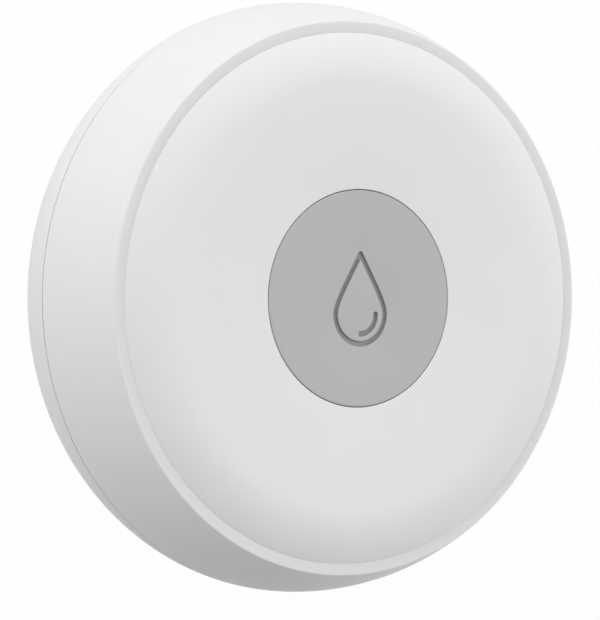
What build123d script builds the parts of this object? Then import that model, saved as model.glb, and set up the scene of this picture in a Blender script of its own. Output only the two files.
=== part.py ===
from build123d import *
import math
import os

# Round water leak sensor with a push button in its face, in millimetres.
# It lies on four steel probes. The base carries the probes and a collar with bayonet lugs.
# The top housing turns off that collar and holds the button, the board and two AAA cells.
# The origin is the centre of the probe tips. +Z points up, out of the button's face, and
# the drop mark on the button points towards +Y.

# Outer form. The body's diameter follows from the cells and the walls round them, and its
# height from what is stacked between the floor of the base and the button.
ring_inset = 2.35
ring_width = 1.25
probe_stand_off = 0.8
widest_to_ring = 10.2
face_rise = 1.55
shoulder_width = 5.57
underside_inset = 5.44
seam_below_widest = 0.48
seam_gap = 0.16
underside_edge_round = 1.2

# Walls and cover seat
shell_wall = 2.16
cover_thickness = 1.8
cover_seat_depth = 1.8
cover_seat_thickness = 1.6
cover_seat_width = 5.4
cover_skirt_width = 1.8
cover_fit = 0.03
base_floor = 2.0

# Cells
cell_diameter = 10.5
cell_length = 44.5
cell_nub_diameter = 3.8
cell_nub_length = 1.0
cell_nub_root = 0.25
cell_gap = 0.7
cell_floor_gap = 0.4
cell_pocket_clearance = 0.1

# Cell carrier
carrier_plate_thickness = 0.8
carrier_edge_margin = 1.0
carrier_saddle_end_gap = 1.25
carrier_saddle_above_axis = 0.75
carrier_side_wall = 1.2
carrier_end_wall = 1.2
carrier_end_wall_margin = 0.8
carrier_end_wall_below_axis = 3.45

# Cell contacts
contact_plate_thickness = 0.4
contact_plate_below_axis = 2.65
contact_plate_width = 7.0
contact_travel = 1.3
contact_end_gap = 0.05
contact_leaf_thickness = 0.3
contact_leaf_width = 4.0
contact_leaf_half_height = 3.5
contact_dimple_radius = 2.2
contact_tab_width = 2.0
contact_tab_above_board = 0.4
contact_slot_clearance = 0.1

# Circuit board
board_thickness = 1.0
board_clearance = 0.74
board_screw_inset = 1.9
board_screw_angle = 45.0
board_boss_radius = 2.0
board_screw_radius = 0.95
board_screw_clearance = 0.15
board_screw_fit = 0.03
board_screw_grip = 2.2
board_screw_head_radius = 1.9
board_screw_head_height = 1.2

# Board components
radio_width = 12.0
radio_length = 14.0
radio_edge_gap = 2.2
radio_board_thickness = 0.8
radio_can_height = 0.8
radio_can_margin = 0.6
radio_antenna_length = 4.0
chip_size = 5.0
chip_height = 0.9
chip_edge_gap = 6.2
capacitor_length = 5.0
capacitor_width = 3.2
capacitor_height = 1.5
capacitor_centre_x = 8.5
capacitor_centre_y = 13.0
led_length = 3.5
led_width = 2.8
led_height = 1.4
led_centre_x = 8.0
led_lens_radius = 1.1
led_lens_height = 0.2

# Tactile switch
switch_width = 6.2
switch_height = 2.8
switch_corner_round = 0.5
plunger_radius = 1.5
plunger_clearance = 0.1
plunger_height = 0.8
plunger_depth = 0.8
button_travel = 0.4
touch_gap = 0.05

# Button and its guide
button_diameter = 23.05
button_gap = 0.15
button_top_thickness = 1.6
button_wall = 1.2
button_flange_width = 1.2
button_flange_thickness = 0.8
button_flange_gap = 0.05
button_stem_radius = 2.2
button_rib_count = 6
button_rib_thickness = 0.8
button_key_width = 2.4
button_key_reach = 0.8
guide_clearance = 0.3
guide_wall = 1.6
guide_key_floor = 0.6
guide_height = 2.3

# Drop mark on the button
drop_bowl_radius = 3.48
drop_bowl_centre = -1.7
drop_tip_height = 5.25
drop_tip_round = 0.3
drop_stroke = 0.55
drop_depth = 0.25
glint_radius = 2.05
glint_start_angle = -92.0
glint_span_angle = 96.0

# Button membrane and clamp ring
membrane_thickness = 0.6
membrane_rim_thickness = 0.8
membrane_rim_width = 2.0
membrane_dome_rise = 0.85
membrane_centre_radius = 3.2
clamp_thickness = 0.8
clamp_boss_radius = 1.6
clamp_boss_merge = 0.3
clamp_screw_count = 3
clamp_screw_first_angle = 90.0
clamp_screw_radius = 0.55
clamp_screw_fit = 0.03
clamp_screw_clearance = 0.1
clamp_screw_grip = 2.0
clamp_screw_head_radius = 1.1
clamp_screw_head_height = 0.7

# Collar, seal and bayonet
collar_clearance = 0.3
collar_thickness = 2.6
collar_top_flange = 0.5
neck_thickness = 1.26
seal_diameter = 1.16
seal_section_sides = 8
seal_groove_depth = 0.95
seal_groove_width = 1.4
seal_groove_above_seam = 0.33
seal_fit = 0.03
bayonet_count = 4
bayonet_ledge_thickness = 1.0
bayonet_ledge_angle = 18.0
bayonet_lug_thickness = 1.1
bayonet_lug_angle = 16.0
bayonet_grip_gap = 0.1
bayonet_free_gap = 0.2
bayonet_radial_gap = 0.3
bayonet_stop_angle = 3.0
bayonet_stop_gap_angle = 0.6
housing_bore_above_neck = 0.4
part_merge = 0.4

# Probes
probe_inset = 6.94
probe_angle = 65.0
probe_head_radius = 2.7
probe_head_bevel = 0.3
probe_shank_radius = 1.5
probe_shank_fit = 0.05
probe_shank_above_nut = 0.5
probe_nut_width = 5.0
probe_nut_thickness = 1.6
probe_nut_fit = 0.03
probe_seal_thickness = 0.6
probe_seal_radius = 2.4
probe_seal_fit = 0.05
probe_contact_radius = 0.9
probe_contact_tip_radius = 0.55
probe_contact_tip_length = 1.6
probe_contact_guide_wall = 0.9
probe_contact_guide_fit = 0.1

# Extra length of every cutting solid past the face that it leaves
overrun = 0.5

# How near an edge's radius and height must be to the ones that it is picked by
edge_match = 0.01

# Places of the cell contacts at the +X end
cell_radius = cell_diameter / 2
cell_spacing = cell_diameter + cell_gap
contact_touch_x = cell_length / 2 + contact_end_gap
contact_plate_inner_x = contact_touch_x + contact_travel
contact_plate_outer_x = contact_plate_inner_x + contact_plate_thickness

# Radii, from the carrier outwards
carrier_radius = contact_plate_outer_x + carrier_end_wall + carrier_edge_margin
board_radius = carrier_radius
board_screw_circle = board_radius - board_screw_inset
collar_inner_radius = carrier_radius + board_clearance
probe_circle = collar_inner_radius - probe_inset
neck_outer_radius = collar_inner_radius + neck_thickness
ledge_inner_radius = neck_outer_radius + bayonet_radial_gap
collar_outer_radius = collar_inner_radius + collar_thickness
seal_groove_radius = collar_outer_radius - seal_groove_depth
bore_radius = collar_outer_radius + collar_clearance
widest_radius = bore_radius + shell_wall
underside_radius = widest_radius - underside_inset
ring_outer_radius = widest_radius - ring_inset
ring_inner_radius = ring_outer_radius - ring_width
cover_radius = ring_inner_radius - cover_fit
cover_seat_inner_radius = ring_inner_radius - cover_seat_width
flat_face_radius = cover_radius - shoulder_width

# Radii of the button and its guide
button_radius = button_diameter / 2
button_hole_radius = button_radius + button_gap
guide_inner_radius = button_radius + button_flange_width + guide_clearance
guide_outer_radius = guide_inner_radius + guide_wall
membrane_outer_radius = guide_outer_radius
membrane_web_radius = guide_outer_radius - membrane_rim_width
clamp_screw_circle = guide_outer_radius + clamp_boss_radius - clamp_boss_merge

# Heights, from the probe tips up to the face
underside_z = probe_stand_off
floor_z = underside_z + base_floor
cell_z = floor_z + cell_floor_gap + cell_radius
plate_low_z = cell_z + cell_radius + cell_pocket_clearance
board_low_z = plate_low_z + carrier_plate_thickness
board_high_z = board_low_z + board_thickness
switch_high_z = board_high_z + switch_height
plunger_high_z = switch_high_z + plunger_height
dome_low_z = plunger_high_z + touch_gap
dome_high_z = dome_low_z + membrane_thickness
rim_high_z = dome_high_z - membrane_dome_rise
rim_low_z = rim_high_z - membrane_rim_thickness
clamp_low_z = rim_low_z - clamp_thickness
stem_low_z = dome_high_z + touch_gap
cover_under_z = rim_high_z + guide_height
face_z = cover_under_z + cover_thickness
flange_high_z = cover_under_z - button_flange_gap
flange_low_z = flange_high_z - button_flange_thickness

# Heights of the side wall, the seam and the cover's seat, from the face down
ring_z = face_z - face_rise
widest_z = ring_z - widest_to_ring
seam_z = widest_z - seam_below_widest
housing_low_z = seam_z + seam_gap / 2
base_high_z = seam_z - seam_gap / 2
cover_seat_z = ring_z - cover_seat_depth
cover_seat_low_z = cover_seat_z - cover_seat_thickness

# Heights of the seal and the bayonet, from the seam up
groove_low_z = housing_low_z + seal_groove_above_seam
groove_high_z = groove_low_z + seal_groove_width
collar_high_z = groove_high_z + collar_top_flange
ledge_low_z = collar_high_z + bayonet_free_gap
ledge_high_z = ledge_low_z + bayonet_ledge_thickness
lug_low_z = ledge_high_z + bayonet_grip_gap
lug_high_z = lug_low_z + bayonet_lug_thickness
bore_high_z = lug_high_z + housing_bore_above_neck
probe_nut_high_z = floor_z + probe_nut_thickness
probe_shank_high_z = probe_nut_high_z + probe_shank_above_nut


def arc_radius(width, height):
    """Radius of an arc that starts level with one end of a chord."""
    return (width ** 2 + height ** 2) / (2 * width)


# Radii of the side wall's two arcs and of the face's shoulder arc
side_curve_radius = arc_radius(ring_inset, widest_to_ring)
base_curve_radius = arc_radius(underside_inset, widest_z - underside_z)
shoulder_curve_radius = arc_radius(face_rise, shoulder_width)


def side_radius(height):
    """Outer radius of the puck's side wall at a height."""
    rise = height - widest_z
    if rise >= 0:
        return widest_radius - side_curve_radius + math.sqrt(side_curve_radius ** 2 - rise ** 2)
    return widest_radius - base_curve_radius + math.sqrt(base_curve_radius ** 2 - rise ** 2)


def shoulder_height(radius, depth=0):
    """Height of the cover's shoulder arc at a radius, or of a surface a depth below it."""
    curve = shoulder_curve_radius - depth
    return face_z - shoulder_curve_radius + math.sqrt(curve ** 2 - (radius - flat_face_radius) ** 2)


def disc(radius, low, high, x=0, y=0):
    """Round solid between two heights."""
    bottom = (Align.CENTER, Align.CENTER, Align.MIN)
    return Pos(x, y, low) * Cylinder(radius, high - low, align=bottom)


def tube(inner, outer, low, high, x=0, y=0):
    """Round solid with a round hole through it."""
    return disc(outer, low, high, x, y) - disc(inner, low - overrun, high + overrun, x, y)


def block(x_low, x_high, y_low, y_high, low, high):
    """Rectangular solid between two corners."""
    corner = (Align.MIN, Align.MIN, Align.MIN)
    size = Box(x_high - x_low, y_high - y_low, high - low, align=corner)
    return Pos(x_low, y_low, low) * size


def turned(*edges):
    """Solid of revolution about Z from a closed outline of radius and height."""
    outline = Curve() + list(edges)
    return revolve(Plane.XZ * make_face(outline), Axis.Z)


def sector(inner, outer, low, high, middle_angle, span_angle):
    """Part of a ring, centred on an angle about Z."""
    outline = Polyline((inner, low), (outer, low), (outer, high), (inner, high), close=True)
    swept = revolve(Plane.XZ * make_face(outline), Axis.Z, span_angle)
    return Rot(0, 0, middle_angle - span_angle / 2) * swept


def polar(circle, angle):
    """Point on a circle about Z."""
    return circle * math.cos(math.radians(angle)), circle * math.sin(math.radians(angle))


def four_places(circle, angle):
    """Four points, one in each quarter, at an angle from the X axis."""
    x, y = polar(circle, angle)
    return [(x, y), (-x, y), (-x, -y), (x, -y)]


def spread_angles(count, first=0):
    """Angles of a pattern that is evenly spaced about Z."""
    return [first + index * 360 / count for index in range(count)]


def edges_at(solid, radius, height):
    """Round edges of a solid about Z at a radius and a height."""
    rings = solid.edges().filter_by(GeomType.CIRCLE)
    level = [edge for edge in rings if abs(edge.arc_center.Z - height) < edge_match]
    centred = [edge for edge in level
               if math.hypot(edge.arc_center.X, edge.arc_center.Y) < edge_match]
    return [edge for edge in centred if abs(edge.radius - radius) < edge_match]


def make_base_shell():
    """Lower shell: rounded bottom, seam shelf, sealing collar, neck and bayonet lugs."""
    shelf_radius = side_radius(base_high_z)
    middle_z = (underside_z + base_high_z) / 2
    body = turned(
        Polyline((0, underside_z), (underside_radius, underside_z)),
        ThreePointArc((underside_radius, underside_z), (side_radius(middle_z), middle_z),
                      (shelf_radius, base_high_z)),
        Polyline((shelf_radius, base_high_z), (collar_outer_radius, base_high_z),
                 (collar_outer_radius, groove_low_z), (seal_groove_radius, groove_low_z),
                 (seal_groove_radius, groove_high_z), (collar_outer_radius, groove_high_z),
                 (collar_outer_radius, collar_high_z), (neck_outer_radius, collar_high_z),
                 (neck_outer_radius, lug_high_z), (collar_inner_radius, lug_high_z),
                 (collar_inner_radius, floor_z), (0, floor_z), (0, underside_z)),
    )
    body = fillet(edges_at(body, underside_radius, underside_z), underside_edge_round)
    for angle in spread_angles(bayonet_count):
        body += sector(neck_outer_radius - part_merge, collar_outer_radius, lug_low_z, lug_high_z,
                       angle, bayonet_lug_angle)
    for x, y in four_places(probe_circle, probe_angle):
        body -= disc(probe_shank_radius + probe_shank_fit, underside_z - overrun,
                     floor_z + overrun, x, y)
        body -= disc(probe_seal_radius + probe_seal_fit, underside_z - overrun,
                     underside_z + probe_seal_thickness, x, y)
    return body


def make_seal_ring():
    """Large sealing ring that lies in the collar's groove, with an eight-sided section."""
    middle_radius = seal_groove_radius + seal_fit + seal_diameter / 2
    middle_z = groove_low_z + seal_groove_width / 2
    half_side = 180 / seal_section_sides
    section = RegularPolygon(seal_diameter / 2, seal_section_sides, major_radius=False,
                             rotation=half_side)
    return revolve(Plane.XZ * Pos(middle_radius, middle_z) * section, Axis.Z)


def make_probe(x, y):
    """Steel probe: flat-tipped head under the base and a shank that goes through its floor."""
    head = disc(probe_head_radius, 0, underside_z, x, y)
    tip_edges = head.edges().filter_by(GeomType.CIRCLE).sort_by(Axis.Z)[:1]
    head = chamfer(tip_edges, probe_head_bevel)
    shank = disc(probe_shank_radius, underside_z - probe_head_bevel, probe_shank_high_z, x, y)
    return head + shank


def make_probe_seal(x, y):
    """Flat rubber washer between a probe's head and the base."""
    return tube(probe_shank_radius + probe_seal_fit, probe_seal_radius, underside_z,
                underside_z + probe_seal_thickness, x, y)


def make_probe_nuts():
    """Hexagon nuts that hold the probes, one group of four."""
    nuts = []
    for x, y in four_places(probe_circle, probe_angle):
        outline = RegularPolygon(probe_nut_width / 2, 6, major_radius=False)
        prism = Pos(x, y, floor_z) * extrude(outline, probe_nut_thickness)
        hole = disc(probe_shank_radius + probe_nut_fit, floor_z - overrun,
                    probe_nut_high_z + overrun, x, y)
        nuts.append(prism - hole)
    return Compound(children=nuts)


def make_top_housing():
    """Upper shell: side wall, flat ring, cover seat, board bosses and bayonet ledges."""
    low_radius = side_radius(housing_low_z)
    low_middle_z = (housing_low_z + widest_z) / 2
    high_middle_z = (widest_z + ring_z) / 2
    seat_wall_radius = side_radius(cover_seat_low_z) - shell_wall
    body = turned(
        Polyline((bore_radius, housing_low_z), (low_radius, housing_low_z)),
        ThreePointArc((low_radius, housing_low_z), (side_radius(low_middle_z), low_middle_z),
                      (widest_radius, widest_z)),
        ThreePointArc((widest_radius, widest_z), (side_radius(high_middle_z), high_middle_z),
                      (ring_outer_radius, ring_z)),
        Polyline((ring_outer_radius, ring_z), (ring_inner_radius, ring_z),
                 (ring_inner_radius, cover_seat_z), (cover_seat_inner_radius, cover_seat_z),
                 (cover_seat_inner_radius, cover_seat_low_z), (seat_wall_radius, cover_seat_low_z),
                 (bore_radius, bore_high_z), (bore_radius, housing_low_z)),
    )
    stop_middle = (bayonet_lug_angle + bayonet_stop_angle) / 2 + bayonet_stop_gap_angle
    for angle in spread_angles(bayonet_count):
        body += sector(ledge_inner_radius, bore_radius + part_merge, ledge_low_z, ledge_high_z,
                       angle, bayonet_ledge_angle)
        body += sector(ledge_inner_radius, bore_radius + part_merge, ledge_low_z, lug_high_z,
                       angle + stop_middle, bayonet_stop_angle)
    for x, y in four_places(board_screw_circle, board_screw_angle):
        body += disc(board_boss_radius, board_high_z, cover_seat_z, x, y)
    for x, y in four_places(board_screw_circle, board_screw_angle):
        body -= disc(board_screw_radius + board_screw_fit, board_high_z - overrun,
                     board_high_z + board_screw_grip, x, y)
    return body


def make_face_cover():
    """Domed front disc with the button's guide collar and the clamp ring's bosses."""
    skirt_radius = cover_radius - cover_skirt_width
    middle = (flat_face_radius + cover_radius) / 2
    under_middle = (flat_face_radius + skirt_radius) / 2
    under_edge_z = shoulder_height(skirt_radius, cover_thickness)
    body = turned(
        Polyline((button_hole_radius, face_z), (flat_face_radius, face_z)),
        ThreePointArc((flat_face_radius, face_z), (middle, shoulder_height(middle)),
                      (cover_radius, ring_z)),
        Polyline((cover_radius, ring_z), (cover_radius, cover_seat_z),
                 (skirt_radius, cover_seat_z), (skirt_radius, under_edge_z)),
        ThreePointArc((skirt_radius, under_edge_z),
                      (under_middle, shoulder_height(under_middle, cover_thickness)),
                      (flat_face_radius, cover_under_z)),
        Polyline((flat_face_radius, cover_under_z), (button_hole_radius, cover_under_z),
                 (button_hole_radius, face_z)),
    )
    guide = tube(guide_inner_radius, guide_outer_radius, rim_high_z, cover_under_z)
    for angle in spread_angles(clamp_screw_count, clamp_screw_first_angle):
        x, y = polar(clamp_screw_circle, angle)
        guide += disc(clamp_boss_radius, rim_low_z, cover_under_z, x, y)
    guide -= disc(membrane_outer_radius + touch_gap, rim_low_z - overrun, rim_high_z)
    guide -= make_button_key(guide_clearance, rim_high_z + guide_key_floor, cover_under_z)
    for angle in spread_angles(clamp_screw_count, clamp_screw_first_angle):
        x, y = polar(clamp_screw_circle, angle)
        guide -= disc(clamp_screw_radius + clamp_screw_fit, rim_low_z - overrun,
                      rim_low_z + clamp_screw_grip, x, y)
    return body + guide


def make_button_key(clearance, low, high):
    """Bar across the button's flange whose two ends stop the button from turning."""
    reach = button_radius + button_flange_width + button_key_reach + clearance
    half_width = button_key_width / 2 + clearance
    return block(-reach, reach, -half_width, half_width, low, high)


def make_drop_outline(bowl_radius):
    """Drop outline: a round bowl and two straight flanks that meet it smoothly."""
    reach = (drop_tip_height - drop_bowl_centre) * bowl_radius / drop_bowl_radius
    lean = math.asin(bowl_radius / reach)
    side_x = bowl_radius * math.cos(lean)
    side_y = drop_bowl_centre + bowl_radius * math.sin(lean)
    tip = (0, drop_bowl_centre + reach)
    bottom = (0, drop_bowl_centre - bowl_radius)
    flanks = Polyline((side_x, side_y), tip, (-side_x, side_y))
    bowl = ThreePointArc((-side_x, side_y), bottom, (side_x, side_y))
    return make_face(Curve() + [flanks, bowl])


def make_drop_mark():
    """Cutting solid for the drop's outline and for the curved glint inside its bowl."""
    outer = make_drop_outline(drop_bowl_radius)
    tip = outer.vertices().sort_by(Axis.Y)[-1]
    outline = fillet(tip, drop_tip_round) - make_drop_outline(drop_bowl_radius - drop_stroke)
    mark = Pos(0, 0, face_z - drop_depth) * extrude(outline, drop_depth + overrun)
    glint_middle = glint_start_angle + glint_span_angle / 2
    glint = sector(glint_radius - drop_stroke / 2, glint_radius + drop_stroke / 2,
                   face_z - drop_depth, face_z + overrun, glint_middle, glint_span_angle)
    for angle in (glint_start_angle, glint_start_angle + glint_span_angle):
        x, y = polar(glint_radius, angle)
        glint += disc(drop_stroke / 2, face_z - drop_depth, face_z + overrun, x, y)
    return mark + Pos(0, drop_bowl_centre, 0) * glint


def make_button_cap():
    """Button: marked disc, skirt, retaining flange with keys, ribs and pressing stem."""
    pocket_radius = button_radius - button_wall
    pocket_z = face_z - button_top_thickness
    cap = disc(button_radius, flange_low_z, face_z)
    cap += disc(button_radius + button_flange_width, flange_low_z, flange_high_z)
    key_low_z = rim_high_z + guide_key_floor + button_travel + guide_clearance
    cap += make_button_key(0, max(key_low_z, flange_low_z), flange_high_z)
    cap -= disc(pocket_radius, flange_low_z - overrun, pocket_z)
    for angle in spread_angles(button_rib_count):
        rib = block(0, pocket_radius + part_merge, -button_rib_thickness / 2,
                    button_rib_thickness / 2, flange_low_z, pocket_z)
        cap += Rot(0, 0, angle) * rib
    cap += disc(button_stem_radius, stem_low_z, pocket_z)
    return cap - make_drop_mark()


def make_button_membrane():
    """Silicone membrane: clamped rim and a low dome that the stem presses."""
    rise_z = rim_high_z - membrane_thickness
    return turned(
        Polyline((0, dome_low_z), (membrane_centre_radius, dome_low_z),
                 (membrane_web_radius, rise_z), (membrane_web_radius, rim_low_z),
                 (membrane_outer_radius, rim_low_z), (membrane_outer_radius, rim_high_z),
                 (membrane_web_radius, rim_high_z), (membrane_centre_radius, dome_high_z),
                 (0, dome_high_z), (0, dome_low_z)),
    )


def make_clamp_ring():
    """Ring with three ears that holds the membrane's rim against the guide collar."""
    ring = tube(membrane_web_radius, membrane_outer_radius, clamp_low_z, rim_low_z)
    for angle in spread_angles(clamp_screw_count, clamp_screw_first_angle):
        x, y = polar(clamp_screw_circle, angle)
        ring += disc(clamp_boss_radius, clamp_low_z, rim_low_z, x, y)
    for angle in spread_angles(clamp_screw_count, clamp_screw_first_angle):
        x, y = polar(clamp_screw_circle, angle)
        ring -= disc(clamp_screw_radius + clamp_screw_clearance, clamp_low_z - overrun,
                     rim_low_z + overrun, x, y)
    return ring


def make_screw(x, y, head_low, head_height, head_radius, shank_radius, shank_high):
    """Flat-headed screw that points up, without its drive slot."""
    head = disc(head_radius, head_low, head_low + head_height, x, y)
    return head + disc(shank_radius, head_low, shank_high, x, y)


def make_clamp_screws():
    """Three small screws of the clamp ring."""
    screws = []
    for angle in spread_angles(clamp_screw_count, clamp_screw_first_angle):
        x, y = polar(clamp_screw_circle, angle)
        screws.append(make_screw(x, y, clamp_low_z - clamp_screw_head_height,
                                 clamp_screw_head_height, clamp_screw_head_radius,
                                 clamp_screw_radius, rim_low_z + clamp_screw_grip - touch_gap))
    return Compound(children=screws)


def make_carrier_screws():
    """Four screws that hold the carrier and the board to the housing's bosses."""
    screws = []
    for x, y in four_places(board_screw_circle, board_screw_angle):
        screws.append(make_screw(x, y, plate_low_z - board_screw_head_height,
                                 board_screw_head_height, board_screw_head_radius,
                                 board_screw_radius, board_high_z + board_screw_grip - touch_gap))
    return Compound(children=screws)


def make_tab_slots(low, high):
    """Two slots for the solder tabs of the contacts at the -X end."""
    slots = Part()
    half = contact_tab_width / 2 + contact_slot_clearance
    for side in (-1, 1):
        y = side * cell_spacing / 2
        slots += block(-contact_plate_outer_x - contact_slot_clearance,
                       -contact_plate_inner_x + contact_slot_clearance, y - half, y + half,
                       low - overrun, high + overrun)
    return slots


def make_circuit_board():
    """Round board with holes for the carrier screws and the contact tabs."""
    board = disc(board_radius, board_low_z, board_high_z)
    for x, y in four_places(board_screw_circle, board_screw_angle):
        board -= disc(board_screw_radius + board_screw_clearance, board_low_z - overrun,
                      board_high_z + overrun, x, y)
    return board - make_tab_slots(board_low_z, board_high_z)


def make_radio_module():
    """Small radio board with its shield can, whose antenna end points outwards."""
    half = radio_width / 2
    board_top = board_high_z + radio_board_thickness
    radio_outer_end = board_radius - radio_edge_gap
    inner_end = radio_outer_end - radio_length
    module = block(-half, half, -radio_outer_end, -inner_end, board_high_z, board_top)
    module += block(-half + radio_can_margin, half - radio_can_margin,
                    -radio_outer_end + radio_antenna_length, -inner_end - radio_can_margin,
                    board_top, board_top + radio_can_height)
    return module


def make_control_chip():
    """Square control chip."""
    half = chip_size / 2
    chip_centre_y = board_radius - chip_edge_gap - half
    return block(-half, half, chip_centre_y - half, chip_centre_y + half, board_high_z,
                 board_high_z + chip_height)


def make_storage_capacitor():
    """Flat storage capacitor."""
    return block(capacitor_centre_x - capacitor_length / 2, capacitor_centre_x + capacitor_length / 2,
                 capacitor_centre_y - capacitor_width / 2, capacitor_centre_y + capacitor_width / 2,
                 board_high_z, board_high_z + capacitor_height)


def make_status_led():
    """Status LED with a low round lens."""
    body = block(led_centre_x - led_length / 2, led_centre_x + led_length / 2, -led_width / 2,
                 led_width / 2, board_high_z, board_high_z + led_height)
    return body + disc(led_lens_radius, board_high_z + led_height,
                       board_high_z + led_height + led_lens_height, led_centre_x, 0)


def make_tactile_switch():
    """Switch body with a bore for its plunger."""
    half = switch_width / 2
    body = block(-half, half, -half, half, board_high_z, switch_high_z)
    body = fillet(body.edges().filter_by(Axis.Z), switch_corner_round)
    bore_low = switch_high_z - plunger_depth - button_travel - guide_clearance
    return body - disc(plunger_radius + plunger_clearance, bore_low, switch_high_z + overrun)


def make_switch_plunger():
    """Plunger that slides in the switch."""
    return disc(plunger_radius, switch_high_z - plunger_depth, plunger_high_z)


def make_cell(y, plus_side):
    """AAA cell along X, with its plus end at one side."""
    can_length = cell_length - cell_nub_length
    cell = disc(cell_radius, 0, can_length)
    cell += disc(cell_nub_diameter / 2, can_length - cell_nub_root, cell_length)
    turn = 0 if plus_side > 0 else 180
    return Pos(0, y, cell_z) * Rot(0, 0, turn) * Pos(-cell_length / 2, 0, 0) * Rot(0, 90, 0) * cell


def make_battery_carrier():
    """Carrier plate with cell saddles, end walls and guides for the probe contacts."""
    saddle_half = cell_length / 2 - carrier_saddle_end_gap
    saddle_y = cell_spacing / 2 + cell_radius + cell_pocket_clearance + carrier_side_wall
    end_y = (cell_spacing + contact_plate_width) / 2 + carrier_end_wall_margin
    end_low_z = cell_z - carrier_end_wall_below_axis
    guide_inner = probe_contact_radius + probe_contact_guide_fit
    guide_outer = guide_inner + probe_contact_guide_wall
    guide_low_z = probe_shank_high_z + touch_gap + probe_contact_tip_length
    body = disc(carrier_radius, plate_low_z, board_low_z)
    body += block(-saddle_half, saddle_half, -saddle_y, saddle_y,
                  cell_z + carrier_saddle_above_axis, plate_low_z)
    for turn in (0, 180):
        wall = block(contact_plate_outer_x, contact_plate_outer_x + carrier_end_wall, -end_y, end_y,
                     end_low_z, board_low_z)
        body += Rot(0, 0, turn) * wall
    for x, y in four_places(probe_circle, probe_angle):
        body += disc(guide_outer, guide_low_z, board_low_z, x, y)
    body &= disc(carrier_radius, end_low_z - overrun, board_low_z)
    pocket = disc(cell_radius + cell_pocket_clearance, 0, cell_length + overrun)
    for side in (-1, 1):
        body -= (Pos(-(cell_length + overrun) / 2, side * cell_spacing / 2, cell_z)
                 * Rot(0, 90, 0) * pocket)
    for x, y in four_places(probe_circle, probe_angle):
        body -= disc(guide_inner, guide_low_z - overrun, board_low_z + overrun, x, y)
    for x, y in four_places(board_screw_circle, board_screw_angle):
        body -= disc(board_screw_radius + board_screw_clearance, plate_low_z - overrun,
                     board_low_z + overrun, x, y)
    return body - make_tab_slots(plate_low_z, board_low_z)


def make_probe_contact(x, y):
    """Sprung pin between the board and a probe's shank."""
    tip_low_z = probe_shank_high_z + touch_gap
    barrel_low_z = tip_low_z + probe_contact_tip_length
    pin = disc(probe_contact_radius, barrel_low_z, board_low_z, x, y)
    return pin + disc(probe_contact_tip_radius, tip_low_z, barrel_low_z, x, y)


def make_contact_plate(y_low, y_high):
    """Flat contact plate against the +X end wall."""
    return block(contact_plate_inner_x, contact_plate_outer_x, y_low, y_high,
                 cell_z - contact_plate_below_axis, plate_low_z)


def make_contact_leaf(y):
    """Bowed leaf that presses a cell's minus end."""
    curve = (contact_leaf_half_height ** 2 + contact_travel ** 2) / (2 * contact_travel)
    half = contact_leaf_width / 2
    hoop = tube(curve - contact_leaf_thickness, curve, -half, half)
    hoop = Pos(contact_touch_x + curve, y, cell_z) * Rot(90, 0, 0) * hoop
    reach = curve + overrun
    return hoop & block(contact_touch_x - overrun, contact_plate_outer_x, y - half, y + half,
                        cell_z - reach, cell_z + reach)


def make_contact_dimple(y):
    """Raised round that touches a cell's plus nub."""
    dimple = disc(contact_dimple_radius, 0, contact_travel + contact_plate_thickness)
    return Pos(contact_touch_x, y, cell_z) * Rot(0, 90, 0) * dimple


def make_contact_tab(y):
    """Solder tab that goes up through the carrier and the board."""
    half = contact_tab_width / 2
    return block(contact_plate_inner_x, contact_plate_outer_x, y - half, y + half, plate_low_z,
                 board_high_z + contact_tab_above_board)


def make_bridge_contact():
    """Contact at the +X end that joins the two cells."""
    reach = cell_spacing / 2 + contact_plate_width / 2
    bridge = make_contact_plate(-reach, reach)
    return bridge + make_contact_leaf(cell_spacing / 2) + make_contact_dimple(-cell_spacing / 2)


def make_negative_contact():
    """Contact of the second cell's minus end, at the -X end."""
    y = cell_spacing / 2
    contact = make_contact_plate(y - contact_plate_width / 2, y + contact_plate_width / 2)
    return Rot(0, 0, 180) * (contact + make_contact_leaf(y) + make_contact_tab(y))


def make_positive_contact():
    """Contact of the first cell's plus end, at the -X end."""
    y = -cell_spacing / 2
    contact = make_contact_plate(y - contact_plate_width / 2, y + contact_plate_width / 2)
    return Rot(0, 0, 180) * (contact + make_contact_dimple(y) + make_contact_tab(y))


def make_nodes():
    """All sub-parts by name."""
    nodes = {
        "base_shell": make_base_shell(),
        "seal_ring": make_seal_ring(),
        "probe_nuts": make_probe_nuts(),
        "top_housing": make_top_housing(),
        "face_cover": make_face_cover(),
        "button_cap": make_button_cap(),
        "button_membrane": make_button_membrane(),
        "clamp_ring": make_clamp_ring(),
        "clamp_screws": make_clamp_screws(),
        "circuit_board": make_circuit_board(),
        "radio_module": make_radio_module(),
        "control_chip": make_control_chip(),
        "storage_capacitor": make_storage_capacitor(),
        "status_led": make_status_led(),
        "tactile_switch": make_tactile_switch(),
        "switch_plunger": make_switch_plunger(),
        "battery_carrier": make_battery_carrier(),
        "carrier_screws": make_carrier_screws(),
        "battery_1": make_cell(cell_spacing / 2, -1),
        "battery_2": make_cell(-cell_spacing / 2, 1),
        "bridge_contact": make_bridge_contact(),
        "negative_contact": make_negative_contact(),
        "positive_contact": make_positive_contact(),
    }
    for number, (x, y) in enumerate(four_places(probe_circle, probe_angle), start=1):
        nodes[f"probe_{number}"] = make_probe(x, y)
        nodes[f"probe_seal_{number}"] = make_probe_seal(x, y)
        nodes[f"probe_contact_{number}"] = make_probe_contact(x, y)
    return nodes


os.makedirs("parts", exist_ok=True)
for name, solid in make_nodes().items():
    export_step(solid, f"parts/{name}.step")
    print(name, round(solid.volume, 2))
print("body diameter", round(2 * widest_radius, 2), "face height", round(face_z, 2))
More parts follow.
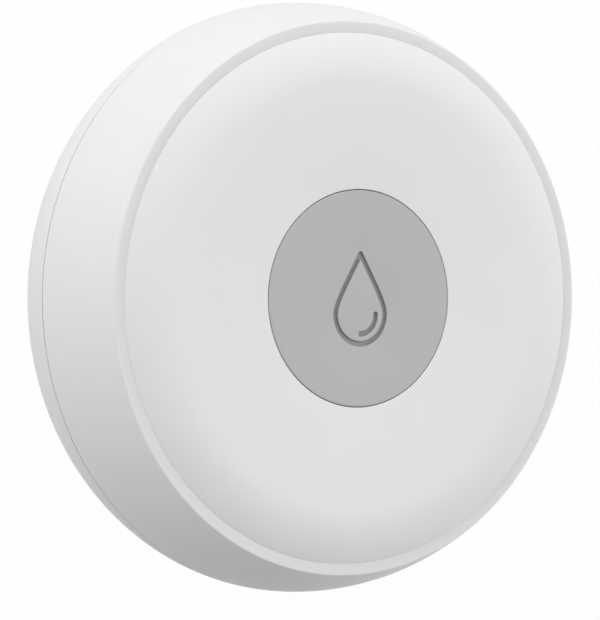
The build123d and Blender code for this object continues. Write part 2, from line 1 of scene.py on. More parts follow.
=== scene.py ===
"""Looks of a round water leak sensor: its shells, button, probes, inner works and studio.

Lengths are in metres. The frame has the origin at the centre of the probe tips, +Z out of the
button's face, and +Y the way the tip of the drop mark points.
"""
import logging
import math
from dataclasses import dataclass, field
from enum import Enum

import bmesh
import bpy
import numpy as np
from bpy.types import Material, Node, NodeSocket, NodeTree, Object
from mathutils import Matrix
from mathutils.geometry import delaunay_2d_cdt


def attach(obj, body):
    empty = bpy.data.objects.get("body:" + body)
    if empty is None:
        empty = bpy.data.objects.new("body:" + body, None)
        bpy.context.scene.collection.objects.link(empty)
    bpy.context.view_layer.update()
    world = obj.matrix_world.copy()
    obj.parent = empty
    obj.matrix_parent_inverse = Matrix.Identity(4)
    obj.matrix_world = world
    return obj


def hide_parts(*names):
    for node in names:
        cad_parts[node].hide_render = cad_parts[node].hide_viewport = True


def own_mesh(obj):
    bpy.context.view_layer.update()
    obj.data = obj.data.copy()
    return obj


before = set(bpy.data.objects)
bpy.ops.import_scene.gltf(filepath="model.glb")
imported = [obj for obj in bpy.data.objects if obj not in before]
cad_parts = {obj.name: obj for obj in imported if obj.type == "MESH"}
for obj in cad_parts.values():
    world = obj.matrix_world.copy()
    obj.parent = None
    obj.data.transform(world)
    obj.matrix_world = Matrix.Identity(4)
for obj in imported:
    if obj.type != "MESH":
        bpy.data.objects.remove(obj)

MM = 0.001
CLOSE = 1e-9
MERGE_DISTANCE = 2e-8
NET_TOLERANCE = 1e-6
SHARP_ANGLE = math.radians(35)
PROBE_CIRCLE = 20.0 * MM
PROBE_ANGLES = (65, 115, 245, 295)
CARRIER_SCREW_ANGLES = (45, 135, 225, 315)
CLAMP_SCREW_ANGLES = (90, 210, 330)
BAYONET_ANGLES = (0, 90, 180, 270)
RIB_ANGLES = range(0, 360, 60)
KEY_ANGLES = (0, 180)
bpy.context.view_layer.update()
LOG = logging.getLogger("leak_sensor")
Pair = tuple[float, float]
Triple = tuple[float, float, float]


def feed(tree: NodeTree, node: Node, inputs: dict[str | int, object]) -> None:
    """Sets or links inputs of a node.

    Args:
        tree: The node's tree.
        node: The node.
        inputs: Values, or sockets to link, by the inputs' names or numbers.
    """
    for key, value in inputs.items():
        if isinstance(value, NodeSocket):
            tree.links.new(value, node.inputs[key])
        else:
            node.inputs[key].default_value = value


def wired(tree: NodeTree, kind: str, inputs: dict[str | int, object], operation: str = "",
          output: str | int = 0) -> NodeSocket:
    """Adds a shader node with its inputs set or linked.

    Args:
        tree: Node tree to add to.
        kind: The node's type after its common first word.
        inputs: Values, or sockets to link, by the inputs' names or numbers.
        operation: What a node of arithmetic does.
        output: Name or number of the output that is used.

    Returns:
        That output of the node.
    """
    node = tree.nodes.new("ShaderNode" + kind)
    if operation:
        node.operation = operation
    feed(tree, node, inputs)
    return node.outputs[output]


def mapped(tree: NodeTree, value: NodeSocket, *limits: float) -> NodeSocket:
    """Maps a value from between the first two limits to between the last two."""
    names = ("From Min", "From Max", "To Min", "To Max")
    return wired(tree, "MapRange", {"Value": value, **dict(zip(names, limits))})


class Body(Enum):
    """Rigid bodies of the sensor, by their names in the frame."""

    BASE = "base"
    HOUSING = "housing"
    BUTTON = "button"


class Grain(Enum):
    """Surface textures that a finish can have."""

    SPARKED = "spark-eroded mould texture"
    BRUSHED = "fine lines along X"
    TURNED = "fine rings about Z"
    SMOOTH = "polished, with faint waviness"


class Shading(Enum):
    """How the faces of a surface are shaded."""

    CURVED = True
    FLAT = False


MIX_SHARE, MIX_FIRST, MIX_SECOND, MIX_RESULT = 0, 6, 7, 2
STRETCH = {Grain.BRUSHED: (0.03, 1.0, 1.0), Grain.TURNED: (0.2, 0.2, 1.0)}
MOTTLE_IN_GRAINS = 40
MOTTLE_DETAIL = 3.0
GRAIN_DETAIL = 4.0
ROUGHNESS_SWING = 4


@dataclass(frozen=True)
class Finish:
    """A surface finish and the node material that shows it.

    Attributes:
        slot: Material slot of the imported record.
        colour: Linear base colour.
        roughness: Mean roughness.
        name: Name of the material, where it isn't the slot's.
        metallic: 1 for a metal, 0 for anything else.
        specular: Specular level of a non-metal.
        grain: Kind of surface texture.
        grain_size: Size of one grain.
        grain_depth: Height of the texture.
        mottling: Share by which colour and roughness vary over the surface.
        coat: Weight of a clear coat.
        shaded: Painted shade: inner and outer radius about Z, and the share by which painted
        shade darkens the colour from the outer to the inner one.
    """

    slot: str
    colour: Triple
    roughness: float
    name: str = ""
    metallic: float = 0.0
    specular: float = 0.5
    grain: Grain = Grain.SPARKED
    grain_size: float = 0.12 * MM
    grain_depth: float = 0.002 * MM
    mottling: float = 0.015
    coat: float = 0.0
    shaded: Triple = (0.0, 1.0, 0.0)

    def material(self) -> Material:
        """Builds the node material once and returns it on later calls.

        Roughness follows the same soft noise as the colour, over a wider share.

        Returns:
            The material with this finish's name.
        """
        name = self.name or self.slot
        made = bpy.data.materials.get(name)
        if made is not None and "finished" in made:
            return made
        made = bpy.data.materials.new(name)
        made.use_nodes = True
        made["finished"] = True
        tree = made.node_tree
        place = wired(tree, "TexCoord", {}, output="Object")
        noise = wired(tree, "TexNoise", {"Vector": place, "Detail": MOTTLE_DETAIL,
                                         "Scale": 1 / (MOTTLE_IN_GRAINS * self.grain_size)})
        swing = ROUGHNESS_SWING * self.mottling
        wear = mapped(tree, noise, 0.0, 1.0, self.roughness * (1 - swing),
                      min(self.roughness * (1 + swing), 1.0))
        feed(tree, tree.nodes["Principled BSDF"], {
            "Metallic": self.metallic, "Specular IOR Level": self.specular,
            "Coat Weight": self.coat, "Base Color": self._tint(tree, noise, place),
            "Roughness": wear, "Normal": self._relief(tree, place)})
        return made

    def _tint(self, tree: NodeTree, noise: NodeSocket, place: NodeSocket) -> NodeSocket:
        """Varies the colour with noise, and adds painted shade by the distance from Z if shaded.

        Args:
            tree: Node tree of the material.
            noise: Socket with the noise.
            place: Socket with object coordinates.

        Returns:
            The socket with the colour.
        """
        dark, light = ((*(min(channel * share, 1.0) for channel in self.colour), 1.0)
                       for share in (1 - self.mottling, 1 + self.mottling))
        tint = wired(tree, "Mix", {MIX_SHARE: noise, MIX_FIRST: dark, MIX_SECOND: light},
                     output=MIX_RESULT)
        tint.node.data_type = "RGBA"
        # Painted shade: the colour is darkened from the outer radius in to the inner one.
        inner, outer, painted_shade = self.shaded
        if not painted_shade:
            return tint
        level = wired(tree, "VectorMath", {0: place, 1: (1.0, 1.0, 0.0)}, "MULTIPLY")
        reach = wired(tree, "VectorMath", {0: level}, "LENGTH", "Value")
        fade = mapped(tree, reach, inner, outer, 1.0 - painted_shade, 1.0)
        return wired(tree, "VectorMath", {0: tint, "Scale": fade}, "SCALE")

    def _relief(self, tree: NodeTree, place: NodeSocket) -> NodeSocket:
        """Makes the fine relief of the finish as a bump.

        Args:
            tree: Node tree of the material.
            place: Socket with object coordinates.

        Returns:
            The socket with the normal.
        """
        stretched = wired(tree, "Mapping", {"Vector": place,
                                            "Scale": STRETCH.get(self.grain, (1.0, 1.0, 1.0))})
        detail = 0.0 if self.grain is Grain.SMOOTH else GRAIN_DETAIL
        noise = wired(tree, "TexNoise", {"Vector": stretched, "Scale": 1 / self.grain_size,
                                         "Detail": detail})
        return wired(tree, "Bump", {"Strength": 1.0, "Distance": self.grain_depth,
                                    "Height": noise})


WHITE_PLASTIC = Finish("white_plastic", (0.80, 0.80, 0.80), 0.48, specular=0.32)
# Ring band: the housing's white plastic painted darker as shade, with painted shade deepening
# towards its crease with the face cover.
RING_PAINTED_SHADE = Finish("white_plastic", (0.77, 0.77, 0.77), 0.55, "ring_face_painted_shade", specular=0.22,
                      shaded=(28.4 * MM, 29.5 * MM, 0.05))
GREY_PLASTIC = Finish("grey_plastic", (0.488, 0.488, 0.488), 0.50, specular=0.22)
# Drop mark's groove: the button's grey plastic painted darker as shade in the recess.
MARK_PAINTED_SHADE = Finish("grey_plastic", (0.32, 0.32, 0.32), 0.60, "mark_floor_painted_shade", specular=0.22)
SEAL_RUBBER = Finish("seal_rubber", (0.02, 0.02, 0.02), 0.6, mottling=0.05)
SILICONE = Finish("clear_silicone", (0.62, 0.62, 0.60), 0.55)
BLACK_PLASTIC = Finish("carrier_plastic", (0.03, 0.03, 0.03), 0.5)
PLATED_STEEL = Finish("plated_steel", (0.62, 0.62, 0.64), 0.32, metallic=1.0,
                      grain=Grain.TURNED, grain_size=0.08 * MM)
PROBE_STEEL = Finish("probe_steel", (0.63, 0.62, 0.61), 0.25, metallic=1.0, grain=Grain.TURNED,
                     grain_size=0.06 * MM, grain_depth=0.001 * MM)
BOARD_LAMINATE = Finish("board_laminate", (0.01, 0.10, 0.04), 0.35, grain=Grain.SMOOTH,
                        grain_size=0.5 * MM, mottling=0.08, coat=0.3)
MODULE_CAN = Finish("module_can", (0.66, 0.66, 0.64), 0.38, metallic=1.0, grain=Grain.BRUSHED,
                    grain_size=0.1 * MM)
CHIP_PLASTIC = Finish("chip_plastic", (0.015, 0.015, 0.015), 0.55)
CAPACITOR_CASE = Finish("capacitor_case", (0.45, 0.22, 0.03), 0.4)
LED_LENS = Finish("led_lens", (0.75, 0.72, 0.5), 0.2, grain=Grain.SMOOTH, coat=0.5)
PLUNGER_PLASTIC = Finish("plunger_plastic", (0.02, 0.02, 0.02), 0.45)
CELL_SLEEVE = Finish("cell_case", (0.22, 0.24, 0.28), 0.3, grain=Grain.SMOOTH,
                     grain_size=1.0 * MM, coat=0.4)
CELL_STEEL = Finish("cell_case", (0.66, 0.65, 0.62), 0.3, "cell_steel", metallic=1.0,
                    grain=Grain.BRUSHED, grain_size=0.1 * MM)
CONTACT_METAL = Finish("contact_metal", (0.68, 0.66, 0.60), 0.3, metallic=1.0,
                       grain=Grain.BRUSHED, grain_size=0.08 * MM)
PIN_METAL = Finish("contact_pin_metal", (0.80, 0.58, 0.20), 0.28, metallic=1.0,
                   grain=Grain.TURNED, grain_size=0.06 * MM)

NODES_BY_FINISH = {
    WHITE_PLASTIC: "base_shell top_housing face_cover",
    GREY_PLASTIC: "button_cap",
    SEAL_RUBBER: "seal_ring probe_seal",
    SILICONE: "button_membrane",
    BLACK_PLASTIC: "clamp_ring battery_carrier",
    PLATED_STEEL: "clamp_screws carrier_screws probe_nuts",
    PROBE_STEEL: "probe",
    BOARD_LAMINATE: "circuit_board",
    MODULE_CAN: "radio_module",
    CHIP_PLASTIC: "control_chip tactile_switch",
    CAPACITOR_CASE: "storage_capacitor",
    LED_LENS: "status_led",
    PLUNGER_PLASTIC: "switch_plunger",
    CELL_SLEEVE: "battery",
    CONTACT_METAL: "bridge_contact negative_contact positive_contact",
    PIN_METAL: "probe_contact",
}


def dress(nodes: dict[str, Object]) -> None:
    """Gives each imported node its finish, numbered ones by their common name.

    Args:
        nodes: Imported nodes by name.
    """
    finishes = {node: finish for finish, names in NODES_BY_FINISH.items()
                for node in names.split()}
    for name, piece in nodes.items():
        finish = finishes[name.rstrip("_0123456789")]
        piece.data.materials.clear()
        piece.data.materials.append(finish.material())
    LOG.info("dressed %d packed nodes", len(nodes))


def arc(centre: Pair, radius: float, start: float, end: float, steps: int) -> np.ndarray:
    """Points at evenly spaced angles on a circle, from one angle in radians to another."""
    angles = np.linspace(start, end, steps + 1)
    return np.column_stack([centre[0] + radius * np.cos(angles),
                            centre[1] + radius * np.sin(angles)])


def ring_loop(radius: float, steps: int, centre: Pair = (0.0, 0.0)) -> np.ndarray:
    """Points of a full circle, anticlockwise, the first one at +X."""
    return arc(centre, radius, 0.0, 2 * math.pi, steps)[:-1]


def around(radius: float, angles: tuple[float, ...]) -> list[Pair]:
    """Places on a circle about Z at angles in degrees."""
    turns = np.radians(np.array(angles))
    return [(radius * math.cos(turn), radius * math.sin(turn)) for turn in turns]


def stairs(*sizes: float) -> list[Pair]:
    """Corners between legs that are level and upright by turns, from radii and heights."""
    return [(sizes[n + n % 2], sizes[n + 1 - n % 2]) for n in range(len(sizes) - 1)]


def boss_outline(radius: float, bore: float, low: float, depth: float,
                 high: float) -> np.ndarray:
    """Outline of a screw boss from its low end to its high one, with a blind bore below."""
    return np.array(stairs(0.0, low + depth, bore, low, radius, high, 0.0))


def bevelled_tip(radius: float, high: float, bevel: float) -> np.ndarray:
    """Outline of a shank's flat top end with its bevel."""
    return np.array([(radius, high - bevel), (radius - bevel, high), (0.0, high)])


def full_turn(steps: int) -> np.ndarray:
    """Evenly spaced angles once round, the first one 0."""
    return np.linspace(0, 2 * math.pi, steps, endpoint=False)


def spun(radius: np.ndarray, height: np.ndarray, angles: np.ndarray,
         centre: Pair = (0.0, 0.0)) -> np.ndarray:
    """Grid of points about a vertical axis, with a row for each angle.

    The point at radius r, height z and angle a is at (x + r cos a, y + r sin a, z).

    Args:
        radius: Radius by column, or by row and column.
        height: Height by column, or by row and column.
        angles: Angle of each row in radians.
        centre: Place of the axis.

    Returns:
        The points by row and column.
    """
    radius, height, turn = np.broadcast_arrays(radius, height, angles[:, None])
    return np.stack([centre[0] + radius * np.cos(turn), centre[1] + radius * np.sin(turn),
                     height], -1)


def trimmed(leg: np.ndarray, head: float, tail: float) -> np.ndarray:
    """Shortens a leg of points along its own length at both ends.

    Args:
        leg: Points of the leg.
        head: Length taken off its start.
        tail: Length taken off its end.

    Returns:
        The shortened leg, with the points between its new ends kept.
    """
    walked = np.concatenate([[0.0], np.cumsum(np.linalg.norm(np.diff(leg, axis=0), axis=1))])
    inside = walked[(walked > head + CLOSE) & (walked < walked[-1] - tail - CLOSE)]
    stops = np.concatenate([[head], inside, [walked[-1] - tail]])
    return np.column_stack([np.interp(stops, walked, leg[:, 0]),
                            np.interp(stops, walked, leg[:, 1])])


def half_turn(arrive: np.ndarray, leave: np.ndarray) -> float:
    """Half the angle between two directions."""
    cosine = arrive @ leave / (np.linalg.norm(arrive) * np.linalg.norm(leave))
    return math.acos(cosine) / 2


def corner_arc(before: np.ndarray, corner: np.ndarray, after: np.ndarray,
               steps: int) -> np.ndarray:
    """Points on the circular arc that touches two lines where they leave a corner.

    It is the rational quadratic curve from one point to the other with the corner between
    them, whose middle weight is the cosine of half the turn, and that is a circle's arc.

    Args:
        before: Point where the arc starts.
        corner: The sharp corner.
        after: Point where the arc ends, as far from the corner as the first.
        steps: Number of steps along the arc.

    Returns:
        The arc's points without its two ends.
    """
    weight = math.cos(half_turn(corner - before, after - corner))
    share = np.linspace(0, 1, steps + 1)[1:-1, None]
    first, middle, last = (1 - share) ** 2, 2 * weight * share * (1 - share), share ** 2
    return (first * before + middle * corner + last * after) / (first + middle + last)


def joined(parts: list, rounds: dict[int, float], steps: int = 6,
           closed: bool = False) -> np.ndarray:
    """Joins corners and curves by straight legs into one outline and rounds some corners.

    Each rounded corner takes its radius times the tangent of half its turn off both of its
    legs, and a circle's arc fills the space.

    Args:
        parts: Corner points and curves of points, in order.
        rounds: Radius of the corner after a leg, by the leg's number. Curves are legs too.
        steps: Number of steps along a rounded corner.
        closed: Whether the last leg ends where the first one starts.

    Returns:
        The outline's points, without a second copy of the first if it is closed.
    """
    legs, curves = [], [np.atleast_2d(np.array(part, float)) for part in parts]
    for curve, follower in zip(curves, [*curves[1:], None]):
        if len(curve) > 1:
            legs.append(curve)
        if follower is not None and np.linalg.norm(follower[0] - curve[-1]) > CLOSE:
            legs.append(np.array([curve[-1], follower[0]]))
    cuts = [0.0] * len(legs)
    for index, radius in rounds.items():
        after = legs[(index + 1) % len(legs)]
        turn = half_turn(legs[index][-1] - legs[index][-2], after[1] - after[0])
        cuts[index] = radius * math.tan(turn)
    short = [trimmed(leg, cuts[index - 1], cuts[index]) for index, leg in enumerate(legs)]
    outline = []
    for index, leg in enumerate(short):
        if cuts[index] > 0.0:
            follower = short[(index + 1) % len(short)]
            outline += [leg, corner_arc(leg[-1], legs[index][-1], follower[0], steps)]
        else:
            outline.append(leg[:-1] if closed or index < len(legs) - 1 else leg)
    return np.concatenate(outline)


def inside_loops(points: np.ndarray, loops: list[np.ndarray]) -> np.ndarray:
    """Tells which points lie inside an odd number of closed loops.

    A line from each point along +X crosses the loops' edges an odd number of times if the
    point lies in the region between an outer loop and its holes.

    Args:
        points: Points to test, one per row.
        loops: Closed loops of points.

    Returns:
        A truth value per point.
    """
    inside = np.zeros(len(points), bool)
    for loop in loops:
        start, end = loop, np.roll(loop, -1, axis=0)
        spans = (start[None, :, 1] > points[:, None, 1]) != (end[None, :, 1] > points[:, None, 1])
        rise = np.where(end[:, 1] == start[:, 1], 1.0, end[:, 1] - start[:, 1])
        crossing = start[:, 0] + (points[:, None, 1] - start[:, 1]) * (end - start)[:, 0] / rise
        inside ^= (np.count_nonzero(spans & (points[:, None, 0] < crossing), axis=1) % 2) == 1
    return inside


@dataclass
class Piece:
    """Surfaces that become one mesh object of the sensor.

    Attributes:
        name: Name of the piece.
        body: Body that it rides on.
        finishes: Its finishes, the main one first.
        finish_number: Which of them the surfaces added next get.
    """

    name: str
    body: Body
    finishes: tuple[Finish, ...]
    finish_number: int = 0
    points: list[np.ndarray] = field(default_factory=list)
    faces: list[np.ndarray] = field(default_factory=list)
    curved: list[np.ndarray] = field(default_factory=list)
    numbers: list[np.ndarray] = field(default_factory=list)

    def add_faces(self, points: np.ndarray, faces: np.ndarray,
                  shading: Shading = Shading.FLAT) -> None:
        """Adds a surface of equal-sided faces.

        Args:
            points: Corner points, three coordinates per row.
            faces: Rows of point numbers.
            shading: How the faces are shaded.
        """
        start = sum(len(block) for block in self.points)
        self.points.append(points)
        self.faces.append(faces + start)
        self.curved.append(np.full(len(faces), shading.value))
        self.numbers.append(np.full(len(faces), self.finish_number))

    def add_grid(self, grid: np.ndarray, close_rows: bool = False, close_columns: bool = False,
                 shading: Shading = Shading.CURVED) -> None:
        """Adds a surface given as a grid of points, with one four-sided face per cell.

        Args:
            grid: Points by row and column.
            close_rows: Whether the last row joins the first.
            close_columns: Whether the last column joins the first.
            shading: How the faces are shaded.
        """
        rows, columns = grid.shape[:2]
        here, there = np.meshgrid(np.arange(rows if close_rows else rows - 1),
                                  np.arange(columns if close_columns else columns - 1),
                                  indexing="ij")
        next_row, next_column = (here + 1) % rows, (there + 1) % columns
        faces = np.stack([here * columns + there, next_row * columns + there,
                          next_row * columns + next_column, here * columns + next_column], -1)
        self.add_faces(grid.reshape(-1, 3), faces.reshape(-1, 4), shading)

    def add_turned(self, outline: np.ndarray, steps: int, closed: bool = False,
                   centre: Pair = (0.0, 0.0)) -> None:
        """Adds an outline of radius and height turned once about a vertical axis.

        Bands between two points of equal height are shaded flat, the others curved.

        Args:
            outline: Rows of radius and height.
            steps: Number of steps round the axis.
            closed: Whether the outline's last point joins its first.
            centre: Place of the axis.
        """
        self.add_grid(spun(outline[:, 0], outline[:, 1], full_turn(steps), centre),
                      close_rows=True, close_columns=closed)
        level = np.abs(np.roll(outline[:, 1], -1) - outline[:, 1]) < CLOSE
        self.curved[-1] = np.tile(~(level if closed else level[:-1]), steps)

    def add_thread(self, radius: float, depth: float, pitch: float, low: float, high: float,
                   centre: Pair, steps: int) -> None:
        """Adds a screw thread that closes on plain rings of its outer radius at both ends.

        The radius at height z and angle a is the outer radius less the depth times a triangle
        wave of z over the pitch less a over a full turn. The wave fades over the first and
        last pitch.

        Args:
            radius: Outer radius.
            depth: Depth of the thread.
            pitch: Height of one turn.
            low: Lower end.
            high: Upper end.
            centre: Place of the axis.
            steps: Number of steps round the axis.
        """
        steps_per_pitch, least_steps = 6, 8
        rings = max(int((high - low) / pitch * steps_per_pitch), least_steps) + 1
        angles, height = full_turn(steps), np.linspace(low, high, rings)[None, :]
        phase = (height / pitch - angles[:, None] / (2 * math.pi)) % 1.0
        fade = np.clip(np.minimum(height - low, high - height) / pitch, 0, 1)
        reach = radius - depth * np.abs(2 * phase - 1) * fade
        self.add_grid(spun(reach, height, angles, centre), close_rows=True)

    def add_sector(self, inner: float, outer: float, low: float, high: float, middle: float,
                   span: float) -> None:
        """Adds a closed block that is part of a ring about Z, with two flat ends.

        Args:
            inner: Inner radius.
            outer: Outer radius.
            low: Lower height.
            high: Upper height.
            middle: Middle angle in degrees.
            span: Angle from end to end in degrees.
        """
        columns = 13
        angles = np.radians(np.linspace(middle - span / 2, middle + span / 2, columns))
        grid = spun([inner, outer, outer, inner], [low, low, high, high], angles)
        self.add_grid(grid, close_columns=True, shading=Shading.FLAT)
        for end in (grid[0], grid[-1]):
            self.add_faces(end, np.array([[0, 1, 2, 3]]))

    def add_box(self, low: Triple, high: Triple, turn: float) -> None:
        """Adds a closed box, turned about Z.

        Args:
            low: Lowest corner.
            high: Highest corner.
            turn: Angle about Z in degrees.
        """
        pick = np.array([[x, y, z] for x in (0, 1) for y in (0, 1) for z in (0, 1)])
        corners = np.array(low) + pick * (np.array(high) - np.array(low))
        sine, cosine = math.sin(math.radians(turn)), math.cos(math.radians(turn))
        corners = corners @ np.array([[cosine, sine, 0], [-sine, cosine, 0], [0, 0, 1]])
        self.add_faces(corners, np.array([[0, 1, 3, 2], [4, 6, 7, 5], [0, 4, 5, 1],
                                          [2, 3, 7, 6], [0, 2, 6, 4], [1, 5, 7, 3]]))

    def add_flat(self, loops: list[np.ndarray], height: float) -> None:
        """Adds a level sheet between closed loops, cut into triangles with no extra points.

        The triangles are those of the constrained Delaunay net of all loops whose middles
        lie inside an odd number of loops.

        Args:
            loops: Outer loop and holes, each a closed row of x and y.
            height: Height of the sheet.
        """
        flat = np.concatenate(loops)
        edges, start = [], 0
        for loop in loops:
            numbers = np.arange(len(loop))
            edges.append(start + np.column_stack([numbers, (numbers + 1) % len(loop)]))
            start += len(loop)
        net = delaunay_2d_cdt([tuple(point) for point in (flat / MM).tolist()],
                              np.concatenate(edges).tolist(), [], 0, NET_TOLERANCE)
        source = np.array([numbers[0] for numbers in net[3]])
        triangles = source[np.array(net[2])]
        triangles = triangles[inside_loops(flat[triangles].mean(axis=1), loops)]
        self.add_faces(np.column_stack([flat, np.full(len(flat), height)]), triangles)

    def lay_along_x(self, side: int, start: float, middle: Pair) -> None:
        """Lays all surfaces so far, which stand on Z, along X.

        A point (x, y, z) goes to (side times (start + z), middle y + x, middle z + y).

        Args:
            side: 1 to point along +X, -1 along -X.
            start: Place along that side of what was at height 0.
            middle: The axis's y and z.
        """
        self.points = [np.column_stack([side * (start + block[:, 2]), middle[0] + block[:, 0],
                                        middle[1] + block[:, 1]]) for block in self.points]

    def build(self, node: str) -> Object:
        """Makes the object, with doubled points merged and faces outwards.

        Args:
            node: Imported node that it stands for.

        Returns:
            The finished object, riding on its body.
        """
        mesh = bpy.data.meshes.new(self.name)
        rows = [row for block in self.faces for row in block.tolist()]
        mesh.from_pydata(np.concatenate(self.points).tolist(), [], rows)
        mesh.polygons.foreach_set("use_smooth", np.concatenate(self.curved))
        mesh.polygons.foreach_set("material_index", np.concatenate(self.numbers))
        for finish in self.finishes:
            mesh.materials.append(finish.material())
        shape = bmesh.new()
        shape.from_mesh(mesh)
        bmesh.ops.remove_doubles(shape, verts=shape.verts, dist=MERGE_DISTANCE)
        bmesh.ops.dissolve_degenerate(shape, edges=shape.edges, dist=CLOSE)
        bmesh.ops.recalc_face_normals(shape, faces=shape.faces)
        open_edges = sum(1 for edge in shape.edges if len(edge.link_faces) != 2)
        shape.to_mesh(mesh)
        shape.free()
        mesh.set_sharp_from_angle(angle=SHARP_ANGLE)
        made = bpy.data.objects.new(self.name, mesh)
        bpy.context.scene.collection.objects.link(made)
        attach(made, self.body.value)
        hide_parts(node)
        LOG.info("%s: %d faces, %d open edges", self.name, len(mesh.polygons), open_edges)
        return made


@dataclass(frozen=True)
class Puck:
    """Sizes that several pieces share: those of the outer form and its seats."""

    widest_radius: float = 32.0 * MM
    widest_z: float = 11.35 * MM
    ring_z: float = 21.55 * MM
    ring_radius: float = 29.65 * MM
    ring_inner: float = 28.4 * MM
    face_z: float = 23.1 * MM
    face_radius: float = 22.8 * MM
    cover_radius: float = 28.395 * MM
    underside_z: float = 0.8 * MM
    underside_radius: float = 26.56 * MM
    base_top: float = 10.79 * MM
    housing_low: float = 10.95 * MM
    bore_radius: float = 29.84 * MM
    seat_z: float = 19.75 * MM
    seat_low: float = 18.15 * MM
    button_radius: float = 11.555 * MM
    hole_radius: float = 11.64 * MM
    board_top: float = 15.6 * MM
    screw_circle: float = 24.3 * MM
    merge: float = 0.4 * MM
    round_steps: int = 384
    boss_steps: int = 40

    def side_arc(self, rim: Pair, low: float, high: float, steps: int) -> np.ndarray:
        """Part of a side wall arc that stands upright at the widest height.

        The arc's radius is (inset squared plus rise squared) over twice the inset, for a rim
        at that inset and rise from the widest point, and its centre is level with the widest
        point.

        Args:
            rim: Radius and height of the rim that the arc runs to.
            low: Height where the part starts.
            high: Height where it ends.
            steps: Number of steps.

        Returns:
            Rows of radius and height.
        """
        inset, rise = self.widest_radius - rim[0], rim[1] - self.widest_z
        curve = (inset ** 2 + rise ** 2) / (2 * inset)
        start, end = (math.asin((height - self.widest_z) / curve) for height in (low, high))
        return arc((self.widest_radius - curve, self.widest_z), curve, start, end, steps)

    def lower_arc(self, low: float, high: float, steps: int) -> np.ndarray:
        """Part of the arc below the widest height, from one height to another."""
        return self.side_arc((self.underside_radius, self.underside_z), low, high, steps)


@dataclass
class TopHousing:
    """Upper shell: side wall, flat ring, cover seat, screw bosses and bayonet ledges."""

    puck: Puck
    seat_inner: float = 23.0 * MM
    seat_wall: float = 28.02 * MM
    bore_top: float = 15.98 * MM
    seam_round: float = 0.06 * MM
    ring_edge_round: float = 0.22 * MM
    crease_round: float = 0.05 * MM
    boss_radius: float = 2.0 * MM
    boss_bore: float = 0.98 * MM
    boss_bore_depth: float = 2.2 * MM
    ledge_inner: float = 28.5 * MM
    ledge_low: float = 13.38 * MM
    ledge_high: float = 14.38 * MM
    stop_high: float = 15.58 * MM
    ledge_span: float = 18.0
    stop_span: float = 3.0
    stop_offset: float = 10.1
    seam_steps: int = 4
    wall_steps: int = 48

    def build(self) -> None:
        """Turns the shell's closed outline and adds the bosses, ledges and stops."""
        puck = self.puck
        piece = Piece("top_housing_shell", Body.HOUSING, (WHITE_PLASTIC, RING_PAINTED_SHADE))
        ring_edge = (puck.ring_radius, puck.ring_z)
        outline = joined([(puck.bore_radius, puck.housing_low),
                          puck.lower_arc(puck.housing_low, puck.widest_z, self.seam_steps),
                          puck.side_arc(ring_edge, puck.widest_z, puck.ring_z, self.wall_steps),
                          *stairs(puck.ring_inner, puck.ring_z, puck.ring_inner, puck.seat_z,
                                  self.seat_inner, puck.seat_low, self.seat_wall),
                          (puck.bore_radius, self.bore_top),
                          (puck.bore_radius, puck.housing_low)],
                         {0: self.seam_round, 2: self.ring_edge_round, 3: self.crease_round},
                         closed=True)
        piece.add_turned(outline, puck.round_steps, closed=True)
        # Faces of the flat ring take the ring finish, which carries painted shade.
        at_ring = np.isclose(outline[:, 1], puck.ring_z, atol=CLOSE)
        on_ring = at_ring & np.roll(at_ring, -1)
        piece.numbers[-1] = np.tile(on_ring.astype(int), puck.round_steps)
        boss = boss_outline(self.boss_radius, self.boss_bore, puck.board_top,
                            self.boss_bore_depth, puck.seat_z - puck.merge)
        for place in around(puck.screw_circle, CARRIER_SCREW_ANGLES):
            piece.add_turned(boss, puck.boss_steps, centre=place)
        for angle in BAYONET_ANGLES:
            for top, middle, span in ((self.ledge_high, angle, self.ledge_span),
                                      (self.stop_high, angle + self.stop_offset, self.stop_span)):
                piece.add_sector(self.ledge_inner, puck.bore_radius + puck.merge, self.ledge_low,
                                 top, middle, span)
        piece.build("top_housing")


